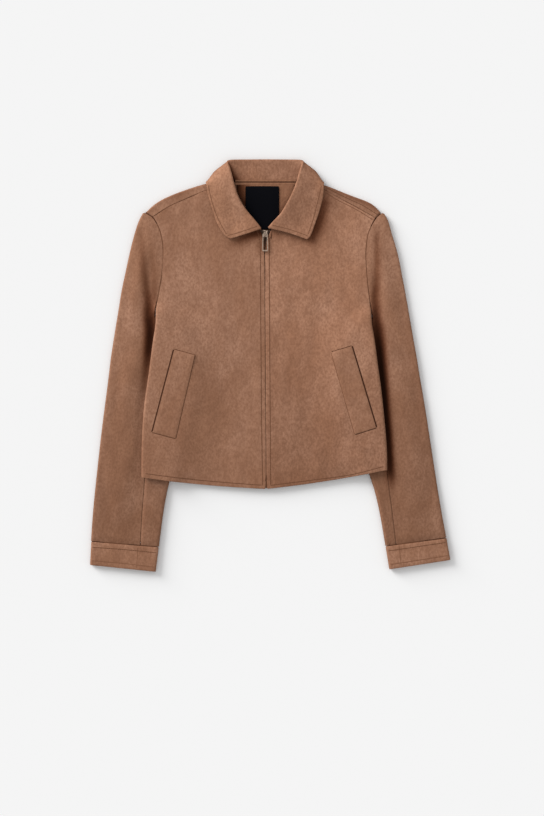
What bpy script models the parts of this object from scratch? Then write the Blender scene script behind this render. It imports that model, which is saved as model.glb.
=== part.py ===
"""Suede jacket, laid out front up. Sides are the wearer's: left is +X, right is -X.

Every piece is a sheet of cloth built from its middle surface, in millimetres,
and thickened to both sides. The floor is z = 0 and the collar points to +Y.
"""

import math

import bpy
import numpy as np

MM = 0.001

# Cloth
WALL = 2.4
FLOOR_MID = WALL / 2
BODY_SEP = 5.8
LIFT_SEP = 5.6
SLEEVE_TOP = 7.2
SEAM_GAP = 0.32
LAYER_GAP = 0.35
SLEEVE_LIFT = 9.4
LIFT_RUN = 28.0
LIFT_LEAD = 9.0
COLLAR_WALL = 2.6
COLLAR_LIFT = 4.0
CENTRE_X = -7.6
UNDERARM_Y = 99.0
# The tables were measured from the garment; this brings its middle to x = y = 0.
TO_MIDDLE = (-1.2, -1.1, 0.0)

# Sleeve stations, crown to cuff. Columns: seam_x, seam_y, outer_x, outer_y, join
# (join 1: the seam is the armhole, 0: the seam is the front sleeve seam).
SLEEVE_RIGHT = [
    (-218.9, 268.4, -221.6, 265.9, 1.0),
    (-211.8, 264.1, -224.6, 260.6, 1.0),
    (-204.9, 259.6, -228.6, 252.4, 1.0),
    (-196.1, 246.4, -233.5, 238.2, 1.0),
    (-189.8, 228.5, -239.2, 218.0, 1.0),
    (-186.4, 203.0, -245.8, 190.0, 1.0),
    (-187.4, 172.0, -252.6, 158.0, 1.0),
    (-190.8, 147.0, -258.6, 130.0, 1.0),
    (-195.3, 121.0, -264.2, 94.0, 1.0),
    (-199.9, 101.0, -269.0, 66.0, 0.95),
    (-200.6, 86.0, -273.0, 40.0, 0.0),
    (-197.8, 64.0, -277.0, 16.0, 0.0),
    (-199.2, 36.0, -279.5, -8.0, 0.0),
    (-204.2, -14.0, -284.3, -46.0, 0.0),
    (-211.6, -62.0, -289.4, -84.0, 0.0),
    (-215.6, -105.0, -293.9, -120.0, 0.0),
    (-217.0, -153.0, -298.5, -160.0, 0.0),
    (-217.8, -198.0, -302.6, -198.0, 0.0),
    (-223.6, -258.0, -308.4, -253.0, 0.0),
    (-226.0, -313.8, -311.9, -306.6, 0.0),
]
SLEEVE_LEFT = [
    (197.4, 268.0, 200.4, 265.9, 1.0),
    (190.9, 262.5, 204.8, 258.8, 1.0),
    (185.8, 256.8, 208.8, 248.4, 1.0),
    (176.8, 241.3, 213.4, 231.2, 1.0),
    (171.3, 224.0, 219.5, 212.0, 1.0),
    (168.8, 199.0, 226.2, 186.0, 1.0),
    (169.9, 172.0, 231.6, 157.0, 1.0),
    (172.0, 145.0, 237.2, 128.0, 1.0),
    (175.4, 117.0, 242.8, 96.0, 1.0),
    (179.2, 98.0, 248.0, 66.0, 0.95),
    (179.9, 83.0, 252.5, 40.0, 0.0),
    (180.5, 58.0, 257.0, 16.0, 0.0),
    (182.5, 34.0, 260.5, -8.0, 0.0),
    (188.6, -16.0, 267.2, -46.0, 0.0),
    (194.0, -66.0, 273.6, -84.0, 0.0),
    (198.4, -110.0, 279.0, -120.0, 0.0),
    (202.4, -152.0, 284.8, -158.0, 0.0),
    (206.4, -192.0, 290.0, -192.0, 0.0),
    (215.6, -257.0, 299.5, -252.0, 0.0),
    (222.0, -312.6, 308.9, -300.4, 0.0),
]
# Columns: inner_x, inner_y for the stations from UNDER_START on.
UNDER_START = 10
INNER_RIGHT = [
    (-187.0, 86.0), (-168.0, 65.0), (-151.0, 38.0), (-136.0, -10.0), (-138.5, -64.0),
    (-147.0, -110.0), (-162.0, -158.0), (-178.2, -204.0), (-188.0, -262.0), (-194.6, -316.6),
]
INNER_LEFT = [
    (167.0, 83.0), (150.0, 60.0), (135.0, 36.0), (123.0, -12.0), (127.0, -68.0),
    (138.0, -114.0), (158.6, -156.0), (180.6, -196.0), (195.6, -262.0), (203.8, -315.0),
]
# Valley beside the armhole and the body's edge. Columns: y, depth, distance from the seam, half width.
TROUGH_RIGHT = [
    (264.0, 0.0, 33.0, 9.0), (220.0, 1.3, 30.0, 9.5), (180.0, 2.3, 25.0, 9.0), (141.0, 2.9, 19.0, 8.5),
    (100.0, 3.2, 12.0, 7.5), (70.0, 3.2, 10.0, 7.0), (30.0, 2.7, 11.0, 7.0), (-60.0, 1.4, 13.0, 7.0),
    (-200.0, 0.4, 14.0, 7.0), (-314.0, 0.0, 14.0, 7.0),
]
TROUGH_LEFT = [
    (262.0, 0.0, 14.0, 8.0), (220.0, 1.6, 18.0, 8.0), (158.0, 2.7, 17.0, 8.0), (120.0, 3.1, 12.0, 7.5),
    (90.0, 3.2, 9.0, 7.0), (30.0, 3.2, 9.0, 6.5), (-30.0, 3.2, 8.0, 6.0), (-100.0, 3.0, 8.0, 6.0),
    (-185.0, 2.2, 9.0, 6.0), (-230.0, 0.4, 11.0, 6.5), (-314.0, 0.0, 12.0, 7.0),
]
# Crown of the sleeve's top between the valley and the outer fold. Columns: y, height.
CROWN = [(268.0, 0.0), (235.0, 1.0), (190.0, 2.0), (60.0, 2.4), (-180.0, 2.2), (-275.0, 1.2), (-314.0, 0.0)]

# Front panels, hem to shoulder. Columns: side_x, side_y, edge_x, edge_y
# (side: side fold, then the armhole; edge: zip edge, then the neck).
FRONT_RIGHT = [
    (-222.6, -195.2, -7.3, -215.2),
    (-222.6, -184.0, -5.95, -201.0),
    (-222.5, -153.0, -5.9, -184.0),
    (-220.6, -103.0, -6.3, -120.0),
    (-216.9, -60.0, -6.7, -64.0),
    (-209.3, -10.0, -7.1, -12.0),
    (-203.1, 40.0, -7.5, 40.0),
    (-197.6, 75.0, -7.8, 82.0),
    (-197.9, 100.0, -8.1, 120.0),
    (-194.9, 119.0, -8.3, 150.0),
    (-190.0, 146.0, -8.6, 180.0),
    (-185.9, 190.0, -9.6, 212.0),
    (-186.8, 216.0, -13.2, 231.0),
    (-190.6, 234.0, -27.4, 251.0),
    (-195.6, 247.0, -50.5, 272.0),
    (-200.0, 254.8, -69.0, 295.0),
    (-203.7, 260.0, -78.6, 313.0),
]
FRONT_LEFT = [
    (204.6, -182.4, -3.5, -215.2),
    (204.5, -171.0, -4.95, -201.0),
    (203.8, -140.0, -5.3, -184.0),
    (198.8, -84.0, -5.7, -120.0),
    (193.6, -36.0, -6.1, -64.0),
    (188.4, 0.0, -6.5, -12.0),
    (182.6, 46.0, -6.9, 40.0),
    (177.4, 76.0, -7.2, 82.0),
    (177.0, 98.0, -7.5, 120.0),
    (174.9, 115.0, -7.7, 150.0),
    (171.5, 144.0, -7.7, 180.0),
    (168.4, 186.0, -6.6, 212.0),
    (168.6, 208.0, -0.6, 231.0),
    (171.5, 227.0, 12.0, 252.0),
    (176.2, 241.5, 34.5, 272.0),
    (180.8, 250.6, 53.0, 293.0),
    (185.0, 257.6, 62.6, 312.0),
]
HEM_SAG = 3.0
# Shoulder strips, neck to armhole. Columns: seam_x, seam_y, fold_x, fold_y.
SHOULDER_RIGHT = [
    (-78.8, 313.4, -76.8, 325.0),
    (-111.5, 307.2, -111.0, 318.7),
    (-135.0, 297.6, -138.0, 310.5),
    (-155.0, 289.0, -160.0, 302.9),
    (-176.0, 279.4, -185.0, 292.7),
    (-194.0, 268.0, -203.0, 281.5),
    (-204.0, 261.4, -218.4, 268.6),
]
SHOULDER_LEFT = [
    (62.8, 312.4, 60.6, 325.0),
    (98.0, 308.2, 97.0, 315.7),
    (117.0, 296.4, 120.0, 306.7),
    (136.0, 286.8, 147.0, 295.7),
    (157.5, 275.4, 173.0, 287.1),
    (174.0, 265.2, 186.0, 278.1),
    (185.4, 259.0, 197.0, 268.0),
]
# Neck edge of the back, right to left. Columns: x, y.
BACK_NECK = [
    (-76.8, 325.0), (-59.5, 321.7), (-34.0, 321.0), (-7.0, 320.8), (20.0, 321.0), (45.5, 321.7), (60.6, 325.0),
]
BACK_HEM_RISE = 3.0

# Pocket welts. Columns: x, y of the corners: top inner, top outer, bottom outer, bottom inner.
WELT_RIGHT = [(-130.0, 19.0), (-167.0, 29.0), (-205.0, -116.0), (-163.5, -127.0)]
WELT_LEFT = [(107.5, 24.0), (144.0, 35.0), (187.0, -108.0), (149.0, -120.0)]
WELT_WALL = 2.2

# Collar stations, front end to centre back. Columns: n (neck seam) x, y, rise; p (roll centre) x, y, z;
# out and lean in degrees; m (middle of the fall) x, y, z; f (free edge) x, y, z; over.
# over 1: the heights of m and f are above the front panel, 0: above the floor.
COLLAR_RIGHT = [
    (-15.2, 239.0, 0.8, -15.8, 238.8, 12.6, 245, 90, -42.5, 230.2, 0.8, -68.9, 222.0, 0.0, 1),
    (-24.2, 250.2, 0.9, -25.6, 251.0, 13.6, 232, 90, -49.4, 236.6, 1.2, -78.0, 228.0, 0.0, 1),
    (-36.4, 263.0, 1.0, -38.0, 265.4, 15.2, 226, 88, -62.0, 249.0, 1.8, -88.6, 243.0, 0.0, 1),
    (-48.9, 274.2, 1.0, -48.6, 279.0, 16.8, 218, 84, -72.0, 264.0, 2.4, -95.8, 261.0, 0.0, 1),
    (-67.0, 296.0, 0.6, -58.6, 298.0, 18.6, 200, 76, -82.0, 289.0, 3.6, -103.2, 285.0, 0.0, 1),
    (-76.4, 312.4, 0.4, -64.8, 320.0, 19.4, 188, 62, -90.0, 311.0, 3.6, -108.2, 303.0, 0.6, 1),
    (-74.6, 319.0, 0.6, -68.6, 336.0, 18.0, 172, 40, -96.4, 326.8, 14.4, -110.0, 317.4, 14.0, 0),
    (-73.6, 326.8, 0.8, -72.2, 351.2, 12.6, 148, -12, -99.6, 334.2, 9.0, -110.8, 321.6, 6.0, 0),
    (-68.0, 325.4, 1.2, -71.4, 357.8, 8.4, 116, -60, -90.0, 344.8, 4.0, -103.0, 316.0, 1.6, 0),
    (-55.0, 323.2, 1.2, -54.0, 358.8, 5.6, 96, -84, -60.0, 336.0, 1.7, -70.0, 308.0, 1.6, 0),
    (-32.0, 322.8, 1.2, -30.0, 359.0, 5.2, 90, -90, -34.0, 336.0, 1.65, -38.0, 306.0, 1.6, 0),
    (-7.0, 322.6, 1.2, -7.0, 359.2, 5.2, 90, -90, -7.0, 336.0, 1.65, -7.0, 305.0, 1.6, 0),
]
COLLAR_LEFT = [
    (-0.8, 240.4, 0.8, -1.0, 240.2, 12.6, -60, 90, 33.0, 232.8, 0.8, 65.2, 221.0, 0.0, 1),
    (9.2, 251.4, 0.9, 9.4, 252.0, 13.6, -52, 90, 40.0, 238.0, 1.2, 72.0, 227.2, 0.0, 1),
    (20.4, 263.0, 1.0, 21.4, 264.4, 15.2, -46, 88, 48.0, 249.0, 1.8, 77.8, 243.0, 0.0, 1),
    (32.0, 274.8, 1.0, 30.4, 278.8, 16.8, -38, 84, 57.0, 264.0, 2.4, 84.0, 261.0, 0.0, 1),
    (49.6, 294.4, 0.6, 40.8, 298.2, 18.6, -20, 76, 66.0, 288.0, 3.6, 90.8, 283.0, 0.0, 1),
    (59.2, 311.6, 0.8, 49.6, 320.0, 19.4, -8, 62, 74.0, 310.0, 3.6, 94.4, 301.0, 0.6, 1),
    (56.4, 318.6, 0.9, 53.6, 336.0, 18.0, 8, 40, 81.2, 325.6, 14.4, 94.6, 315.6, 14.0, 0),
    (55.4, 326.8, 0.9, 57.6, 351.2, 12.6, 32, -12, 84.8, 333.6, 9.0, 94.6, 320.8, 6.0, 0),
    (52.0, 325.4, 1.2, 57.2, 357.8, 8.4, 64, -60, 75.4, 344.6, 4.0, 87.0, 315.0, 1.6, 0),
    (40.0, 323.2, 1.2, 40.0, 358.8, 5.6, 84, -84, 46.0, 336.0, 1.7, 56.0, 308.0, 1.6, 0),
    (17.0, 322.8, 1.2, 16.0, 359.0, 5.2, 90, -90, 19.0, 336.0, 1.65, 23.0, 306.0, 1.6, 0),
]
ROLL_RADIUS = 1.9

# Cuffs. Columns: outer_x, outer_y, inner_x, inner_y at the seam and at the open end.
CUFF_RIGHT = [(-312.4, -307.6, -193.8, -317.6), (-314.6, -348.2, -199.0, -360.2)]
CUFF_LEFT = [(310.4, -301.6, 203.2, -316.0), (317.0, -339.4, 209.6, -356.0)]
CUFF_WALL = 2.8

FACING_WALL = 1.2
# Neck facing, neck seam to its foot. Columns: y, low_x, high_x.
FACING_ROWS = [
    (319.4, -58.0, 44.0),
    (308.0, -58.0, 44.0),
    (294.0, -52.0, 38.0),
    (278.0, -42.0, 28.0),
    (262.0, -30.0, 16.0),
    (246.0, -20.0, 6.0),
]
LABEL_WALL = 1.0
LABEL_SIDES = (-42.0, 17.0)
LABEL_ROWS = (314.6, 302.0, 290.0, 276.0, 262.0, 250.0, 239.2)
ZIP_FOOT = (-5.45, -205.0)
ZIP_HEAD = (-8.1, 200.0)
TAPE_WALL = 1.0
TAPE_WIDTH = 14.0

SUEDE = (0.30, 0.15, 0.09, 1.0)
SUEDE_INSIDE = (0.26, 0.13, 0.08, 1.0)
LABEL_BLACK = (0.004, 0.004, 0.006, 1.0)
TAPE_BROWN = (0.08, 0.045, 0.03, 1.0)
ZIP_METAL = (0.60, 0.54, 0.44, 1.0)


def smooth(table, steps):
    """Catmull-Rom through the rows of a table, with steps points to each interval."""
    rows = np.array(table, float)
    padded = np.vstack([2 * rows[0] - rows[1], rows, 2 * rows[-1] - rows[-2]])
    out = []
    for k in range(len(rows) - 1):
        a, b, c, d = padded[k : k + 4]
        for step in range(steps):
            t = step / steps
            bend = 2 * a - 5 * b + 4 * c - d
            turn = 3 * b - a - 3 * c + d
            out.append(0.5 * (2 * b + (c - a) * t + bend * t * t + turn * t ** 3))
    out.append(rows[-1])
    return np.array(out)


def soft_step(t):
    t = min(max(t, 0.0), 1.0)
    return t * t * (3 - 2 * t)


def column(table, y, index):
    """Value of a column at the height y of a table whose first column is falling y."""
    ys = [row[0] for row in table][::-1]
    values = [row[index] for row in table][::-1]
    return float(np.interp(y, ys, values))


INNER_LINES = {-1: smooth(INNER_RIGHT, 6), 1: smooth(INNER_LEFT, 6)}


def sleeve_lift(x, y):
    """How far the body is held up by the sleeve that lies under its side."""
    side = 1 if x > CENTRE_X else -1
    line = INNER_LINES[side]
    if y < line[0, 1]:
        edge = float(np.interp(y, line[::-1, 1], line[::-1, 0]))
        if (x - edge) * side >= 0:
            return SLEEVE_LIFT
    elif (x - line[0, 0]) * side >= 0:
        return SLEEVE_LIFT * soft_step(1 - (y - line[0, 1]) / LIFT_RUN)
    near = float(np.min(np.hypot(line[:, 0] - x, line[:, 1] - y)))
    lead = LIFT_LEAD * soft_step((line[0, 1] - y) / 30)
    return SLEEVE_LIFT * soft_step(1 - (near - lead) / LIFT_RUN)


def collar_lift(x, y):
    """How far the back is held up by the collar fall that lies under it."""
    across = soft_step((128 - abs(x + 7.5)) / 22)
    return COLLAR_LIFT * across * soft_step((y - 252) / 52)


def lift(x, y):
    return sleeve_lift(x, y) + collar_lift(x, y)


def back_mid(x, y):
    return FLOOR_MID + lift(x, y)


def ripple(x, y):
    """Soft unevenness of the fronts, none at the zip, the sides and the shoulders."""
    side = abs(x - CENTRE_X)
    window = soft_step((side - 12) / 30) * soft_step((175 - side) / 30) * soft_step((265 - y) / 40)
    wave = math.sin(0.026 * x + 0.011 * y + 0.6) * math.sin(0.015 * y - 0.007 * x + 0.9)
    return 0.38 * window * wave


def front_mid(x, y):
    raised = lift(x, y)
    return FLOOR_MID + raised + BODY_SEP + (LIFT_SEP - BODY_SEP) * min(raised / SLEEVE_LIFT, 1) + ripple(x, y)


def material(name, colour, metallic=0.0, roughness=0.9):
    made = bpy.data.materials.new(name)
    made.use_nodes = True
    shader = made.node_tree.nodes["Principled BSDF"]
    shader.inputs["Base Color"].default_value = colour
    shader.inputs["Metallic"].default_value = metallic
    shader.inputs["Roughness"].default_value = roughness
    made.diffuse_color = colour
    return made


def add_mesh(name, points, faces, colour, metallic=0.0, roughness=0.9, origin=(0, 0, 0)):
    shift = np.array(origin, float)
    middle = np.array(TO_MIDDLE)
    mesh = bpy.data.meshes.new(name)
    mesh.from_pydata([tuple((np.array(p) - shift) * MM) for p in points], [], [tuple(f) for f in faces])
    mesh.materials.append(material(name + "_material", colour, metallic, roughness))
    mesh.validate()
    made = bpy.data.objects.new(name, mesh)
    made.location = tuple((shift + middle) * MM)
    bpy.context.scene.collection.objects.link(made)
    return made


class Sheet:
    """Middle surface of a piece of cloth: quads over shared points."""

    def __init__(self):
        self.points = []
        self.faces = []
        self.index = {}

    def point(self, p):
        key = tuple(round(float(v), 4) for v in p)
        if key not in self.index:
            self.index[key] = len(self.points)
            self.points.append(np.array(p, float))
        return self.index[key]

    def grid(self, rows, ring=False):
        ids = [[self.point(p) for p in row] for row in rows]
        for a, b in zip(ids, ids[1:]):
            pairs = list(zip(range(len(a) - 1), range(1, len(a))))
            if ring:
                pairs.append((len(a) - 1, 0))
            for i, j in pairs:
                face = []
                for corner in (a[i], a[j], b[j], b[i]):
                    if corner not in face:
                        face.append(corner)
                if len(face) > 2:
                    self.faces.append(face)

    def normals(self):
        total = np.zeros((len(self.points), 3))
        for face in self.faces:
            corners = [self.points[i] for i in face]
            for k, i in enumerate(face):
                before = corners[k - 1] - corners[k]
                after = corners[(k + 1) % len(face)] - corners[k]
                cross = np.cross(after, before)
                size = np.linalg.norm(cross)
                if size > 1e-9:
                    cosine = np.dot(after, before) / (np.linalg.norm(after) * np.linalg.norm(before))
                    total[i] += cross / size * math.acos(min(max(cosine, -1.0), 1.0))
        sizes = np.linalg.norm(total, axis=1)[:, None]
        return total / np.where(sizes > 0, sizes, 1.0)

    def solid(self, name, wall, colour, roughness=0.9):
        normals = self.normals()
        centre = np.array(self.points)
        count = len(centre)
        points = np.vstack([centre + normals * wall / 2, centre - normals * wall / 2])
        faces = [list(f) for f in self.faces] + [[i + count for i in reversed(f)] for f in self.faces]
        edges = {}
        for face in self.faces:
            for a, b in zip(face, face[1:] + face[:1]):
                edges[(a, b)] = True
        for a, b in edges:
            if (b, a) not in edges:
                faces.append([b, a, a + count, b + count])
        return add_mesh(name, points, faces, colour, 0.0, roughness)


def sleeve_rows(table, trough, side):
    """Points of the sleeve stations: seam, outer fold, heights at both seams."""
    rows = []
    stations = np.vstack([smooth(table, 2)[: 2 * UNDER_START], table[UNDER_START:]])
    for seam_x, seam_y, outer_x, outer_y, join in stations:
        join = min(max(join, 0.0), 1.0)
        turn = fold_amount_at(seam_y)
        top = front_mid(seam_x, seam_y) - turn * LIFT_SEP / 2 + turn * 1.6
        bottom = back_mid(seam_x, seam_y) + turn * LIFT_SEP / 2 - turn * 1.6
        rows.append((
            np.array((seam_x, seam_y)),
            np.array((outer_x, outer_y)),
            SLEEVE_TOP + join * (top - SLEEVE_TOP),
            FLOOR_MID + join * (bottom - FLOOR_MID),
            [column(trough, seam_y, k) for k in (1, 2, 3)],
            column(CROWN, seam_y, 1),
        ))
    return rows


def fold_amount_at(y):
    return soft_step((UNDERARM_Y + 18 - y) / 18)


SHARES = (0.0, 0.05, 0.11, 0.18, 0.26, 0.35, 0.45, 0.57, 0.71, 0.86, 1.0)
LOWER_SHARES = (1.0, 0.3, 0.0)


def sleeve_section(start, end, top, bottom, trough, crown, sign):
    """C-shaped section from the seam on top, round the fold at end, back to the seam below."""
    along = end - start
    length = float(np.linalg.norm(along))
    along = along / length
    radius = (SLEEVE_TOP - FLOOR_MID) / 2
    flat = max(length - radius, 0.5)
    first = start + along * SEAM_GAP * 0.5

    def place(s, z):
        return (*(first + along * s), z)

    depth, distance, width = trough
    points = []
    for share in SHARES:
        s = share * flat
        z = SLEEVE_TOP - depth * math.exp(-(((s - distance) / width) ** 2)) * min(1.0, flat / 30)
        z += crown * math.sin(math.pi * share) ** 1.4
        points.append(place(s, z + (top - SLEEVE_TOP) * math.exp(-((s / 7.0) ** 2))))
    for angle in (45, 0, -45):
        turn = math.radians(angle)
        points.append(place(flat + radius * math.cos(turn), FLOOR_MID + radius + radius * math.sin(turn)))
    for share in LOWER_SHARES:
        s = share * flat
        points.append(place(s, FLOOR_MID + (bottom - FLOOR_MID) * math.exp(-((s / 6.0) ** 2))))
    return points if sign < 0 else points[::-1]


def build_sleeve(side_name, table, inner, trough, side):
    rows = sleeve_rows(table, trough, side)
    top = Sheet()
    top.grid([sleeve_section(*row, side) for row in rows])
    top.solid("sleeve_top_" + side_name, WALL, SUEDE)
    under = Sheet()
    sections = []
    for (a, _, t, b, _, _), i in zip(rows[2 * UNDER_START :], np.array(inner)):
        sections.append(sleeve_section(a, i, t, b, (0.0, 0.0, 1.0), 0.0, -side))
    under.grid(sections)
    under.solid("sleeve_under_" + side_name, WALL, SUEDE)


def build_cuff(side_name, table, side):
    rows = []
    radius = (SLEEVE_TOP - FLOOR_MID) / 2 + 0.1
    middle = CUFF_WALL / 2 + radius
    for share in (0.0, 0.1, 0.35, 0.65, 0.9, 1.0):
        outer_x, outer_y, inner_x, inner_y = (1 - share) * np.array(table[0]) + share * np.array(table[1])
        outer = np.array((outer_x, outer_y))
        inner = np.array((inner_x, inner_y))
        along = (inner - outer) / np.linalg.norm(inner - outer)
        inset = radius + CUFF_WALL / 2
        a = outer + along * inset
        b = inner - along * inset
        ring = []
        for k in range(9):
            ring.append((*(a + (b - a) * k / 8), middle + radius))
        for angle in (60, 30, 0, -30, -60):
            turn = math.radians(angle)
            ring.append((*(b + along * radius * math.cos(turn)), middle + radius * math.sin(turn)))
        for k in range(5):
            ring.append((*(b + (a - b) * k / 4), middle - radius))
        for angle in (-60, -30, 0, 30, 60):
            turn = math.radians(angle)
            ring.append((*(a - along * radius * math.cos(turn)), middle + radius * math.sin(turn)))
        rows.append(ring if side > 0 else ring[::-1])
    sheet = Sheet()
    sheet.grid(rows, ring=True)
    sheet.solid("cuff_" + side_name, CUFF_WALL, SUEDE)


FRONT_SHARES = (0.0, 0.05, 0.11, 0.18, 0.26, 0.35, 0.45, 0.56, 0.68, 0.80, 0.91, 1.0)
FOLD_RADIUS = LIFT_SEP / 2
TURN_ANGLES = (11.0, 18.0, 50.0, 90.0)
BENT_ROWS = 8


def side_points(x, y, side, fold, upper):
    """The first points of a row at the body's side: round the side fold, or flat at the armhole."""
    points = []
    for k, angle in enumerate(TURN_ANGLES):
        turn = math.radians(angle)
        inward = FOLD_RADIUS * (1 - math.cos(turn))
        flat = k * 0.93
        px = x - side * (inward * fold + flat * (1 - fold))
        if upper:
            top = front_mid(px, y)
            z = top - fold * FOLD_RADIUS * (1 - math.sin(turn))
        else:
            z = back_mid(px, y) + fold * FOLD_RADIUS * (1 - math.sin(turn))
        points.append((px, y, z))
    return points


def follow_shoulder(rows, side):
    """Bends the upper rows of a front so that the last one lies along the shoulder seam."""
    seam = np.array(sorted(station[:2] for station in (SHOULDER_RIGHT if side < 0 else SHOULDER_LEFT)))
    rise = [float(np.interp(x, seam[:, 0], seam[:, 1])) - y for x, y, _ in rows[-1]]
    first = len(rows) - 1 - BENT_ROWS
    bent = rows[: first + 1]
    for index in range(first + 1, len(rows)):
        share = soft_step((index - first) / BENT_ROWS)
        row = []
        for (x, y, _), up in zip(rows[index], rise):
            y += share * up
            row.append((x, y, front_mid(x, y)))
        bent.append(row)
    return bent


def build_front(side_name, table, side):
    rows = []
    for side_x, side_y, edge_x, edge_y in smooth(table, 2):
        row = side_points(side_x, side_y, side, fold_amount_at(side_y), True)
        start = np.array(row[-1][:2])
        end = np.array((edge_x, edge_y))
        sag = HEM_SAG * soft_step((-120 - side_y) / 74)
        for share in FRONT_SHARES[1:]:
            x, y = start + (end - start) * share
            y -= sag * math.sin(math.pi * share) * (1 if share < 1 else 0)
            row.append((x, y, front_mid(x, y)))
        rows.append(row)
    rows = [row if side > 0 else row[::-1] for row in follow_shoulder(rows, side)]
    sheet = Sheet()
    sheet.grid(rows)
    sheet.solid("front_panel_" + side_name, WALL, SUEDE)


def along(line, share):
    """The point at a share of the length of a line."""
    steps = np.linalg.norm(np.diff(line, axis=0), axis=1)
    lengths = np.concatenate([[0.0], np.cumsum(steps)])
    at = share * lengths[-1]
    return np.array([np.interp(at, lengths, line[:, 0]), np.interp(at, lengths, line[:, 1])])


def back_grid():
    right = smooth(FRONT_RIGHT, 2)
    left = smooth(FRONT_LEFT, 2)
    strips = {-1: np.array(SHOULDER_RIGHT)[::-1], 1: np.array(SHOULDER_LEFT)}
    fold_line = np.vstack([strips[-1][:, 2:4], BACK_NECK[1:-1], strips[1][:, 2:4]])
    count = len(fold_line)
    radius = FOLD_RADIUS
    neck_from = len(SHOULDER_RIGHT) - 1
    neck_to = count - len(SHOULDER_LEFT)
    low = 22
    sheet = Sheet()
    rows = []
    top_target = fold_line.copy()
    ends = {0: SHOULDER_RIGHT[-1], count - 1: SHOULDER_LEFT[-1]}
    # The last row stands back from the shoulder folds by the fold's radius, along the armhole at its ends.
    for k in range(count):
        before = fold_line[max(k - 1, 0)]
        after = fold_line[min(k + 1, count - 1)]
        run = after - before
        if k == neck_from:
            run = fold_line[k] - fold_line[k - 1]
        if k == neck_to:
            run = fold_line[k + 1] - fold_line[k]
        down = np.array((run[1], -run[0])) / np.linalg.norm(run)
        if k in ends:
            to_seam = np.array(ends[k][:2]) - np.array(ends[k][2:])
            down = to_seam / np.linalg.norm(to_seam)
        if k <= neck_from or k >= neck_to:
            top_target[k] = fold_line[k] + down * radius
    shares = (fold_line[:, 0] - fold_line[0, 0]) / (fold_line[-1, 0] - fold_line[0, 0])
    for index in range(low + 1):
        r = right[index]
        l = left[index]
        rise = BACK_HEM_RISE * soft_step((-150 - r[1]) / 44)
        start = side_points(r[0], r[1] + rise, -1, fold_amount_at(r[1]), False)
        end = side_points(l[0], l[1] + rise, 1, fold_amount_at(l[1]), False)[::-1]
        a = np.array(start[-1][:2])
        b = np.array(end[0][:2])
        sag = 14.0 * soft_step((-110 - r[1]) / 84)
        middle = []
        for share in shares[1:-1]:
            x, y = a + (b - a) * share
            middle.append((x, y - sag * math.sin(math.pi * share)))
        rows.append((start, middle, end))
    base = rows[-1][1]
    for step in range(1, 8):
        t = step / 7
        r = along(np.vstack([right[low:, :2], top_target[0]]), t)
        l = along(np.vstack([left[low:, :2], top_target[-1]]), t)
        start = side_points(r[0], r[1], -1, 0.0, False)
        end = side_points(l[0], l[1], 1, 0.0, False)[::-1]
        middle = []
        for (x0, y0), target in zip(base, top_target[1:-1]):
            middle.append((x0 + (target[0] - x0) * t, y0 + (target[1] - y0) * t))
        rows.append((start, middle, end))
    grid = []
    for start, middle, end in rows:
        grid.append(start + [(x, y, back_mid(x, y)) for x, y in middle] + end)
    sheet.grid([row[::-1] for row in grid])
    # Shoulder folds and forward strips, on the columns of the last row.
    last = grid[-1]
    lead = len(TURN_ANGLES)
    for side, table in ((-1, SHOULDER_RIGHT), (1, SHOULDER_LEFT)):
        stations = []
        size = len(table)
        for k, (seam_x, seam_y, fold_x, fold_y) in enumerate(table):
            if side < 0:
                column_at = lead - 1 + (size - 1 - k)
            else:
                column_at = lead - 1 + (count - size) + k
            foot = last[column_at]
            fold = np.array((fold_x, fold_y))
            seam = np.array((seam_x, seam_y))
            centre = np.array(foot[:2])
            z_low = foot[2]
            z_top = z_low + LIFT_SEP
            middle_z = (z_low + z_top) / 2
            turn_radius = (z_top - z_low) / 2
            out = (fold - centre) / max(np.linalg.norm(fold - centre), 1e-6)
            points = [foot]
            for angle in (-60, -30, 0, 30, 60, 90):
                turn = math.radians(angle)
                xy = centre + out * turn_radius * math.cos(turn)
                points.append((*xy, middle_z + turn_radius * math.sin(turn)))
            for share in (0.35, 0.7, 1.0):
                xy = centre + (seam + (fold - seam) / np.linalg.norm(fold - seam) * SEAM_GAP - centre) * share
                points.append((*xy, front_mid(*xy) * share + z_top * (1 - share)))
            stations.append(points)
        order = stations[::-1] if side < 0 else stations
        sheet.grid(order)
    return sheet


def build_welt(side_name, corners, side):
    top_in, top_out, low_out, low_in = [np.array(c) for c in corners]
    rows = []
    for v in np.linspace(0, 1, 13):
        row = []
        for u in np.linspace(0, 1, 5):
            x, y = (1 - v) * ((1 - u) * top_in + u * top_out) + v * ((1 - u) * low_in + u * low_out)
            row.append((x, y, front_mid(x, y) + WALL / 2 + LAYER_GAP + WELT_WALL / 2 + 0.65))
        rows.append(row if side < 0 else row[::-1])
    sheet = Sheet()
    sheet.grid(rows)
    sheet.solid("pocket_welt_" + side_name, WELT_WALL, SUEDE)


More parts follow.
